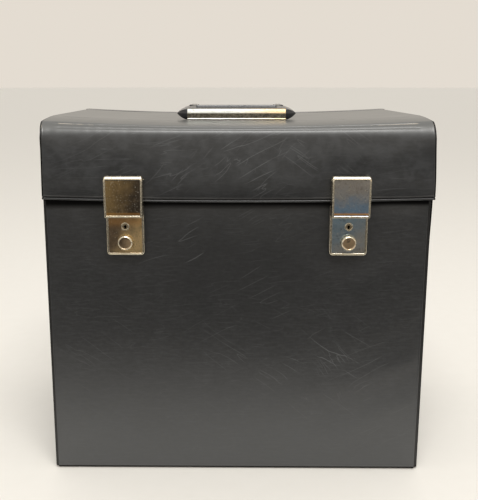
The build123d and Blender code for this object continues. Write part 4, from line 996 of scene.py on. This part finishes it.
def haspShell(name, side):
    # the side view carried across the width, taken in round the edge near each end and closed by a cheek
    form = haspForm
    low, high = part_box(name + "_hasp_cover")
    low.z -= form["overhang"]
    pin = Vector(joints[name + "_hasp_swing"]["pos_m"])
    centre, half = (low.x + high.x) / 2, (high.x - low.x) / 2
    y, z, ny, nz = (a[:, None] for a in haspSideView(low, high, pin))
    flatWidth = 2 * (half - form["edge"])
    rimEnd = form["rim"] + form["slope"] - 0.6 * mm
    inner = graded(flatWidth, [rimEnd], 0.12 * mm, 0.8 * mm, 1.4 * mm)
    inner = np.unique(np.round(np.concatenate([inner, flatWidth - inner]), 6)) / flatWidth * 2 - 1
    inner, bend, closing = inner[1:-1], np.linspace(math.pi / 2, 0, 9), np.linspace(1, 0, 7)[:-1]

    def columns(cheek, edge, face, mirror=1):
        # one value for each column: cheek, rounded edge, face, rounded edge, cheek
        left = np.concatenate([cheek + 0 * closing, edge + 0 * bend])
        return np.concatenate([left, face, mirror * left[::-1]])[None, :]

    share, taken = columns(closing, 0, 0 * inner), columns(1, 1 - np.cos(bend), 0 * inner)
    out, place = columns(1, np.sin(bend), 0 * inner), columns(-1, -1, inner, -1)
    edge = form["edge"] + (form["rollEdge"] - form["edge"]) * smooth(z, pin.z - 1 * mm, pin.z + 2 * mm)
    X = place * (half - edge) + np.sign(place) * edge * out
    Y, Z = y - ny * edge * taken, z - nz * edge * taken
    chordZ = Z[:1] + (Z[-1:] - Z[:1]) * np.linspace(0, 1, len(y))[:, None]
    Y, Z = Y + (high.y - Y) * share, Z + (chordZ - Z) * share
    # the face is pressed in, inside a bright rim
    inside = np.minimum(np.minimum(half - np.abs(X), Z - low.z), pin.z + form["rim"] + form["rimAbove"] - Z)
    pressed = smooth(inside, form["rim"], form["rim"] + form["slope"]) * smooth(-ny, 0.9, 0.99) * (share == 0)
    X = X * (1 - form["taper"] * (high.z - Z) / (high.z - low.z))
    hollow = bell(X, half * 0.8) * bell(Z - (low.z + pin.z) / 2, half * 0.8)
    dings = form["dings"] * ripples(X, Z, 9 * mm, 60 + side)
    Y = Y + pressed * (form["dish"] + form["hollow"] * hollow + dings)
    # the roll's back takes the face's darker tone as well: painted shade where it lies close over the lid
    onRoll = smooth(Y, pin.y - 0.6 * mm, pin.y + 0.8 * mm) * smooth(Z, pin.z, pin.z + 1 * mm)
    # behind the pin the roll is open between its cheeks, so that it clears the base's ears as it swings
    middleX, middleY, middleZ = cellMiddles(X, Y, Z)
    cut = (middleY > pin.y + form["openBehind"]) & (middleZ > pin.z)
    cut &= np.abs(middleX) < half - 0.5 * form["edge"]
    return makePiece(name + "HaspShell", np.stack([X + centre, Y, Z], -1), gridFaces(*X.shape)[~cut.ravel()],
                     finishes[name + "Hasp"], name + "_hasp", [name + "_hasp_cover"],
                     face=np.maximum(pressed, onRoll), centre=(centre, high.y, pin.z - 12 * mm),
                     thickness=form["wall"])


lockForm = {
    "corner": 2.6 * mm, "edge": 0.65 * mm, "rim": 0.85 * mm, "slope": 0.4 * mm, "dish": 0.34 * mm,
    "wall": 0.7 * mm, "dings": 0.03 * mm, "takenIn": 1.2 * mm, "frontBehind": 4.7 * mm,
    "buttonHole": 7.0 * mm, "keyHole": 2.95 * mm, "drawn": 0.42 * mm,
    "slotHalf": 4.3 * mm, "slotTop": 251.2 * mm, "slotBottom": 249.0 * mm,
    "eyeletInner": 2.55 * mm, "eyeletOuter": 3.75 * mm, "eyeletRise": 0.6 * mm, "eyeletDepth": 2.0 * mm,
}
plateFront = caseLow.y - lockForm["frontBehind"]


def lockFace(name, side):
    # pressed plate: a grid over a rounded rectangle, with a rolled rim, a dished middle and cut holes
    form = lockForm
    low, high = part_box(name + "_lock_plate")
    centre, _, level = middle(low, high)
    halfX, halfZ = (high.x - low.x) / 2 - form["takenIn"], (high.z - low.z) / 2
    r, rim = form["corner"], form["edge"]

    def rimmed(half):
        # places across the plate, close together over its rolled edges
        bend = rim * (1 - np.sin(np.linspace(math.pi / 2, 0, 7)))
        flat = graded(2 * half - 2 * rim, [0.7 * mm, 2 * half - 2.3 * mm], 0.12 * mm, 0.6 * mm, 1.0 * mm)
        return np.concatenate([bend, flat[1:-1] + rim, 2 * half - bend[::-1]]) - half

    V, U = np.meshgrid(rimmed(halfZ), rimmed(halfX), indexing="ij")
    overU, overV = over(np.abs(U) - (halfX - r)), over(np.abs(V) - (halfZ - r))
    past, pulledU, pulledV = pulledIn(overU, overV)
    X = np.where(past, np.sign(U) * (halfX - r + pulledU), U)
    Z = np.where(past, np.sign(V) * (halfZ - r + pulledV), V)
    # inward is the distance from the plate's edge
    inward = np.where(past, r - np.maximum(overU, overV), np.minimum(halfX - np.abs(U), halfZ - np.abs(V)))
    rounded = rim - np.sqrt(over(rim ** 2 - over(rim - inward) ** 2))
    pressed = smooth(inward, form["rim"], form["rim"] + form["slope"])
    Y = plateFront + rounded + pressed * (form["dish"] + form["dings"] * ripples(X, Z, 12 * mm, 70 + side))
    # vertices next to a round hole are drawn on to its edge
    buttonZ = middle(*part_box(name + "_lock_button"))[2] - level
    keyZ = joints[name + "_key_turn"]["pos_m"][2] - level
    middleX, middleZ = cellMiddles(X, Z)
    gone = (np.abs(middleX) < form["slotHalf"]) & (middleZ > form["slotBottom"] - level)
    gone &= middleZ < form["slotTop"] - level
    for holeZ, radius in ((buttonZ, form["buttonHole"]), (keyZ, form["keyHole"])):
        gone |= np.hypot(middleX, middleZ - holeZ) < radius
        away = np.hypot(X, Z - holeZ)
        pull = np.where(np.abs(away - radius) < form["drawn"], radius / np.maximum(away, 1e-9), 1.0)
        X, Z = X * pull, holeZ + (Z - holeZ) * pull
    faces = gridFaces(*X.shape)[~gone.ravel()]
    points = np.stack([X + centre, Y, Z + level], -1).reshape(-1, 3)
    # the skirt: the grid's own border, carried back to the body
    index = np.arange(X.size).reshape(X.shape)
    border = np.concatenate([index[0, :-1], index[:-1, -1], index[-1, :0:-1], index[:0:-1, 0]])
    for depth in np.linspace(0, 1, 6)[1:]:
        ring = points[border].copy()
        ring[:, 1] = plateFront + rim + (caseLow.y - plateFront - rim) * depth
        fresh = np.arange(len(border)) + len(points)
        quads = np.stack([border, np.roll(border, -1), np.roll(fresh, -1), fresh], -1)
        faces = np.concatenate([faces, quads])
        points, border = np.concatenate([points, ring]), fresh
    shares = np.concatenate([pressed.ravel(), np.zeros(len(points) - pressed.size)])
    return makePiece(name + "LockFace", points, faces, finishes[name + "Plate"], "case",
                     [name + "_lock_plate"], face=shares, centre=(centre, caseLow.y, level),
                     thickness=form["wall"])


def lathe(name, profile, place, finish, body, replaced=(), faceWithin=0.0, around=64):
    # a profile of (radius, distance behind the front) turned about the line that runs back from its place
    angle = np.linspace(0, 2 * math.pi, around, endpoint=False)
    radius, depth = profile[:, :1], profile[:, 1:]
    X, Z = place[0] + radius * np.cos(angle), place[2] + radius * np.sin(angle)
    points = np.stack([X, place[1] + depth + 0 * X, Z], -1)
    face = None
    if faceWithin:
        face = (1 - smooth(radius, faceWithin * 0.94, faceWithin * 1.06) + 0 * X) * (depth < 1.5 * mm)
    piece = makePiece(name, points, gridFaces(len(profile), around, True), finish, None, replaced,
                      face=face, centre=(place[0], place[1] + depth.mean(), place[2]), sharp=50)
    weld(piece)
    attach(piece, body)
    return piece


def roundedProfile(corners, steps):
    # corners are (radius, depth, rounding); each is replaced by a short quadratic curve
    result = []
    for i, (radius, depth, rounding) in enumerate(corners):
        here = np.array([radius, depth])
        if rounding == 0 or i in (0, len(corners) - 1):
            result.append(here)
            continue
        before, after = np.array(corners[i - 1][:2]), np.array(corners[i + 1][:2])
        start = here + (before - here) * min(1, rounding / np.linalg.norm(before - here))
        end = here + (after - here) * min(1, rounding / np.linalg.norm(after - here))
        for t in np.linspace(0, 1, steps):
            result.append((1 - t) ** 2 * start + 2 * t * (1 - t) * here + t * t * end)
    return np.array(result)


buttonForm = {
    "radius": 6.8 * mm, "dishRadius": 5.15 * mm, "dish": 0.75 * mm, "lip": 0.3 * mm, "crown": 1.25 * mm,
    "flange": 7.4 * mm, "flangeAt": 5.1 * mm, "flangeThickness": 0.7 * mm,
    "cone": 2.8 * mm, "coneReach": 0.3 * mm,
}


def pushButton(name):
    form = buttonForm
    low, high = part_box(name + "_lock_button")
    length, radius, dishRadius, dish = high.y - low.y, form["radius"], form["dishRadius"], form["dish"]
    flange, flangeBack = form["flangeAt"], form["flangeAt"] + form["flangeThickness"]
    tip = form["cone"] - form["coneReach"]
    profile = roundedProfile([
        (0, dish * 0.85, 0), (dishRadius * 0.6, dish * 0.97, 1.0 * mm), (dishRadius, dish, 0.35 * mm),
        (dishRadius + form["lip"], 0.05 * mm, 0.35 * mm), (radius - form["crown"], 0, 0.3 * mm),
        (radius, form["crown"] * 0.9, 0.9 * mm), (radius, flange, 0), (form["flange"], flange, 0),
        (form["flange"], flangeBack, 0), (tip + length - flangeBack, flangeBack, 0), (tip, length, 0),
        (0, length, 0)], 6)
    centre, _, level = middle(low, high)
    return lathe(name + "PushButton", profile, (centre, low.y, level), finishes["button"], name + "_button",
                 [name + "_lock_button"], faceWithin=dishRadius)


def keyEyelet(name, side):
    # pressed ring round the keyhole, standing on the plate
    form = lockForm
    inner, outer = form["eyeletInner"], form["eyeletOuter"]
    rise, deep = form["eyeletRise"], form["eyeletDepth"]
    profile = roundedProfile([(inner, deep, 0), (inner, 0, 0.3 * mm), (outer, 0, 0.35 * mm),
                              (outer, rise + 0.5 * mm, 0), (outer - 0.3 * mm, deep, 0)], 5)
    place = (side * latchX, plateFront - rise, joints[name + "_key_turn"]["pos_m"][2])
    return lathe(name + "KeyEyelet", np.concatenate([profile, profile[:1]]), place, finishes[name + "Plate"],
                 "case", around=48)


def catchSprings(name):
    # the node's own springs, given a mesh of their own
    node = name + "_catch_springs"
    piece = nodeCopy(name + "CatchSprings", node, "spring_steel", "case")
    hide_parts(node)
    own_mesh(piece)
    return piece


for name, side in sides:
    catchSprings(name)
    haspShell(name, side)
    lockFace(name, side)
    pushButton(name)
    keyEyelet(name, side)
print("hasps and locks made")


# ---- handle
gripForm = {
    "reach": 45.5 * mm, "depth": 22.15 * mm, "legsFrom": 21 * mm, "thickness": 10.2 * mm, "rise": 3.3 * mm,
    "drop": math.radians(10), "frontHalf": 46.1 * mm, "strip": 0.6 * mm, "wrap": 3.2 * mm, "dents": 0.08 * mm,
    "bevelDepth": 2.4 * mm, "bevelHeight": 3.6 * mm, "lip": 0.35 * mm, "lipHeight": 2.0 * mm,
    "tip": 56 * mm, "tipBack": 7 * mm, "rearStart": 39 * mm, "rearDrop": 0.3,
    "dish": 1.3 * mm, "dishHalf": 39 * mm, "legEdges": 0.6 * mm,
}
pivotY, pivotZ = joints["handle_swing"]["pos_m"][1:]
gripFront, gripLevel = pivotY - gripForm["reach"], pivotZ + gripForm["rise"]
gripHalf = gripForm["thickness"] / 2


def folded(y, z):
    # turns the flat handle down to its folded place, about its pivot line
    away, up, cosine, sine = y - pivotY, z - pivotZ, math.cos(gripForm["drop"]), math.sin(gripForm["drop"])
    return pivotY + away * cosine - up * sine, pivotZ + away * sine + up * cosine


def handleStrip():
    # a folded section, two flats, a lip below and two returns, carried along the grip
    form = gripForm
    half, lip, length = gripHalf, form["lip"], 2 * form["frontHalf"]
    bevelY, backY = gripFront + form["bevelDepth"], gripFront + form["bevelDepth"] + form["wrap"]
    lowest, highest = form["lipHeight"] - half, half - form["bevelHeight"]
    line = roundedProfile([
        (backY, -half, 0), (gripFront + 1.2 * mm, -half, 0.4 * mm),
        (gripFront - lip, 1.1 * mm - half, 0.35 * mm), (gripFront + lip, lowest, 0.3 * mm),
        (gripFront, highest, 0.7 * mm), (bevelY, half, 0.7 * mm), (backY, half, 0)], 7)
    x = (graded(length, [0, length], 0.4 * mm, 2.0 * mm, 3 * mm) - form["frontHalf"])[:, None]
    height = line[None, :, 1] + 0 * x
    dents = form["dents"] * ripples(x + 0 * height, height, 16 * mm, 81)
    Y, Z = folded(line[None, :, 0] + dents, gripLevel + height)
    # the flats' share of the dark face, a painted reflection: whole on the lower one, half on the upper one, none
    # on the lip
    upper = 1 - 0.5 * smooth(height, highest - 0.3 * mm, highest + 0.1 * mm)
    face = smooth(height, lowest - 0.1 * mm, lowest + 0.3 * mm) * upper
    return makePiece("handleStrip", np.stack([x + 0 * Y, Y, Z], -1), gridFaces(*Y.shape),
                     finishes["handle_trim"], "handle", ["handle_trim"], face=face,
                     centre=(0, pivotY - 20 * mm, gripLevel), thickness=form["strip"] * 0.95, sharp=60)


def handleBar():
    # rounded bevelled section carried from tip to tip; past the strip it closes in to a blunt point
    form = gripForm
    half, depth, bevel, tip = gripHalf, form["depth"], form["bevelDepth"], form["tip"]
    tall, wrap = half - form["bevelHeight"], bevel + form["wrap"]
    dishEnd, stripEnd, rearStart = form["dishHalf"], form["frontHalf"], form["rearStart"]

    def section(inset, dish):
        corners = [(wrap, -half, 0.1 * mm), (bevel, inset - half, 0.5 * mm), (inset, -tall, 0.5 * mm),
                   (inset, tall, 0.5 * mm), (bevel, half - inset, 0.5 * mm), (wrap, half, 0.1 * mm),
                   (wrap + 1.3 * mm, half, 0.6 * mm), (wrap + 2.3 * mm, half - dish, 0.8 * mm),
                   (depth - 3.6 * mm, half - dish, 0.8 * mm), (depth - 2.6 * mm, half, 0.6 * mm),
                   (depth, half, 1.5 * mm), (depth, -half, 1.5 * mm)]
        return roundedProfile([corners[-1], *corners, corners[0]], 7)[1:-1][None]

    # stations from the middle outwards: the dish, its end, the rest of the strip, then the tip
    x = np.concatenate([np.linspace(0, dishEnd - 3 * mm, 10),
                        np.linspace(dishEnd - 2.5 * mm, dishEnd + 1 * mm, 8),
                        np.linspace(dishEnd + 1.6 * mm, stripEnd - 0.2 * mm, 8),
                        stripEnd + (tip - stripEnd) * np.sin(np.linspace(0, 1, 26) * math.pi / 2)])
    x = np.concatenate([-x[:0:-1], x])[:, None]
    far = np.abs(x)
    past = np.clip((far - stripEnd) / (tip - stripEnd), 0, 1)
    rear = np.clip((far - rearStart) / (tip - rearStart), 0, 1)
    bare = smooth(far, stripEnd, stripEnd + 0.4 * mm)[..., None]
    dished = (1 - smooth(far, dishEnd - 1.6 * mm, dishEnd))[..., None]
    under, flush, flat = section(form["strip"], 0.0), section(0.0, 0.0), section(form["strip"], form["dish"])
    loop = under + (flush - under) * bare + (flat - under) * dished
    inwards, height = loop[..., 0] / depth, loop[..., 1]
    frontCut = form["tipBack"] * past ** 1.5
    rearCut = (depth - form["tipBack"]) * (1 - np.sqrt(1 - rear ** 2))
    drop = form["rearDrop"] * smooth(far, rearStart - 3 * mm, tip) * inwards ** 2
    height = height * (1 - past ** 1.6) ** 0.75 * (1 - drop)
    Y, Z = folded(gripFront + frontCut + inwards * (depth - rearCut - frontCut), gripLevel + height)
    piece = makePiece("handleBar", np.stack([x + 0 * Y, Y, Z], -1), gridFaces(*Y.shape, True),
                      finishes["handle_plastic"], None, ["handle_grip"],
                      centre=(0, pivotY - 34 * mm, gripLevel - 4 * mm))
    weld(piece)
    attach(piece, "handle")
    return piece


def handleLegs():
    # the node's own legs and bosses, cut away from its bar
    drop = gripForm["drop"]
    point = (0, *folded(gripFront + gripForm["legsFrom"], pivotZ))
    piece = nodeCopy("handleLegs", "handle_grip", "handle_plastic", "handle", point,
                     (0, math.cos(drop), math.sin(drop)))
    soften(piece, gripForm["legEdges"])
    return piece


handleStrip()
handleBar()
handleLegs()
print("handle made")


# ---- the other nodes keep their shape, with softened edges where they show
softened = {"bracket": 0.35 * mm, "hasp_base": 0.25 * mm, "hasp_hook": 0.25 * mm, "key_drum": 0.15 * mm,
            "bead": 0.5 * mm, "body_rim": 0.4 * mm}


def dressNodes():
    slots = {part["node"]: part["material_slot"] for part in frame["record"]["subparts"]}
    for node, thing in cadNodes.items():
        if thing.hide_render:
            continue
        side = "left" if node.startswith("left") else "right"
        finish = finishes.get(slots[node]) or finishes[side + ("Hasp" if "hasp" in node else "Plate")]
        thing.data.materials.clear()
        thing.data.materials.append(finish)
        for ending, width in softened.items():
            if node.endswith(ending):
                thing.modifiers.new("merge", "WELD").merge_threshold = 0.001 * mm
                soften(thing, width)


dressNodes()
print("nodes dressed")


# ---- stage: pale floor, soft light and the camera
stageLook = {
    "floor": ((0.810, 0.785, 0.735), (0.835, 0.810, 0.762)), "wall": (0.775, 0.716, 0.638),
    "ceiling": (0.90, 0.90, 0.89), "beyond": (0.012, 0.012, 0.013),
    "lampPlace": (0.10, -0.80, 1.75), "lampTarget": (0, 0, 0.15), "lampSize": (0.95, 0.5), "lampWatts": 18,
    "lampColour": (1.0, 0.985, 0.955),
    "cameraPlace": (-7.4 * mm, -638.7 * mm, 361.6 * mm), "cameraDown": 9.79, "cameraAside": 0.482,
    "cameraLens": 44.71, "cameraShift": (0.0313, -0.1183),
}


def makeFloor():
    f = Finish("floor")
    speckle = f.noise(f.object(), 60.0, 2.0)
    y = f.axes(f.object())[1]
    # well in front of the object the floor lights and mirrors it little, as past the edge of a table
    past = (y.below(-0.62, -0.30) * f.node("LightPath", out="Is Diffuse Ray")
            + y.below(-0.44, -0.15) * y.above(-2.7, -1.5) * f.node("LightPath", out="Is Glossy Ray"))
    colour = f.mix(past.upTo(1.0), f.mix(speckle, *stageLook["floor"]), stageLook["beyond"])
    finish = f.surface(colour, 0.6 + speckle * 0.1, Specular_IOR_Level=0.25)
    angle = np.linspace(0, 2 * math.pi, 97)[:-1]
    radius = np.array([0.0, 0.3, 1.0, 3.0, 12.0, 60.0])[:, None]
    points = np.stack([radius * np.cos(angle), radius * np.sin(angle), 0 * radius * angle - 0.05 * mm], -1)
    mesh = bpy.data.meshes.new("floor")
    mesh.from_pydata(points.reshape(-1, 3), [], gridFaces(len(radius), len(angle), True))
    mesh.materials.append(finish)
    floor = addThing("floor", mesh)
    weld(floor)


def makeWorld():
    # a pale room under a dimmer ceiling
    world = bpy.data.worlds.new("room")
    world.use_nodes = True
    bpy.context.scene.world = world
    f = Finish("room", world.node_tree)
    up = f.axes(f.node("TexCoord", out=0))[2]
    colour = f.mix(up.above(0.50, 0.80), stageLook["wall"], stageLook["ceiling"])
    lit = f.node("Background", None, {"Color": colour, "Strength": 1.0})
    f.node("OutputWorld", None, {"Surface": lit})


def makeLamp():
    lamp = bpy.data.lights.new("ceilingLamp", "AREA")
    lamp.shape, (lamp.size, lamp.size_y) = "RECTANGLE", stageLook["lampSize"]
    lamp.energy, lamp.color = stageLook["lampWatts"], stageLook["lampColour"]
    thing = addThing("ceilingLamp", lamp)
    thing.location = stageLook["lampPlace"]
    away = Vector(stageLook["lampPlace"]) - Vector(stageLook["lampTarget"])
    thing.rotation_euler = away.to_track_quat("Z", "Y").to_euler()


def makeCamera():
    camera = bpy.data.cameras.new("camera")
    thing = addThing("camera", camera)
    thing.location = stageLook["cameraPlace"]
    down, aside = math.radians(90 - stageLook["cameraDown"]), math.radians(stageLook["cameraAside"])
    thing.rotation_euler = (down, 0, aside)
    camera.lens, camera.sensor_width = stageLook["cameraLens"], 36
    camera.shift_x, camera.shift_y = stageLook["cameraShift"]
    camera.clip_start, camera.clip_end = 0.01, 100
    bpy.context.scene.camera = thing


makeFloor()
makeWorld()
makeLamp()
makeCamera()
bpy.context.scene.view_settings.view_transform = "Standard"
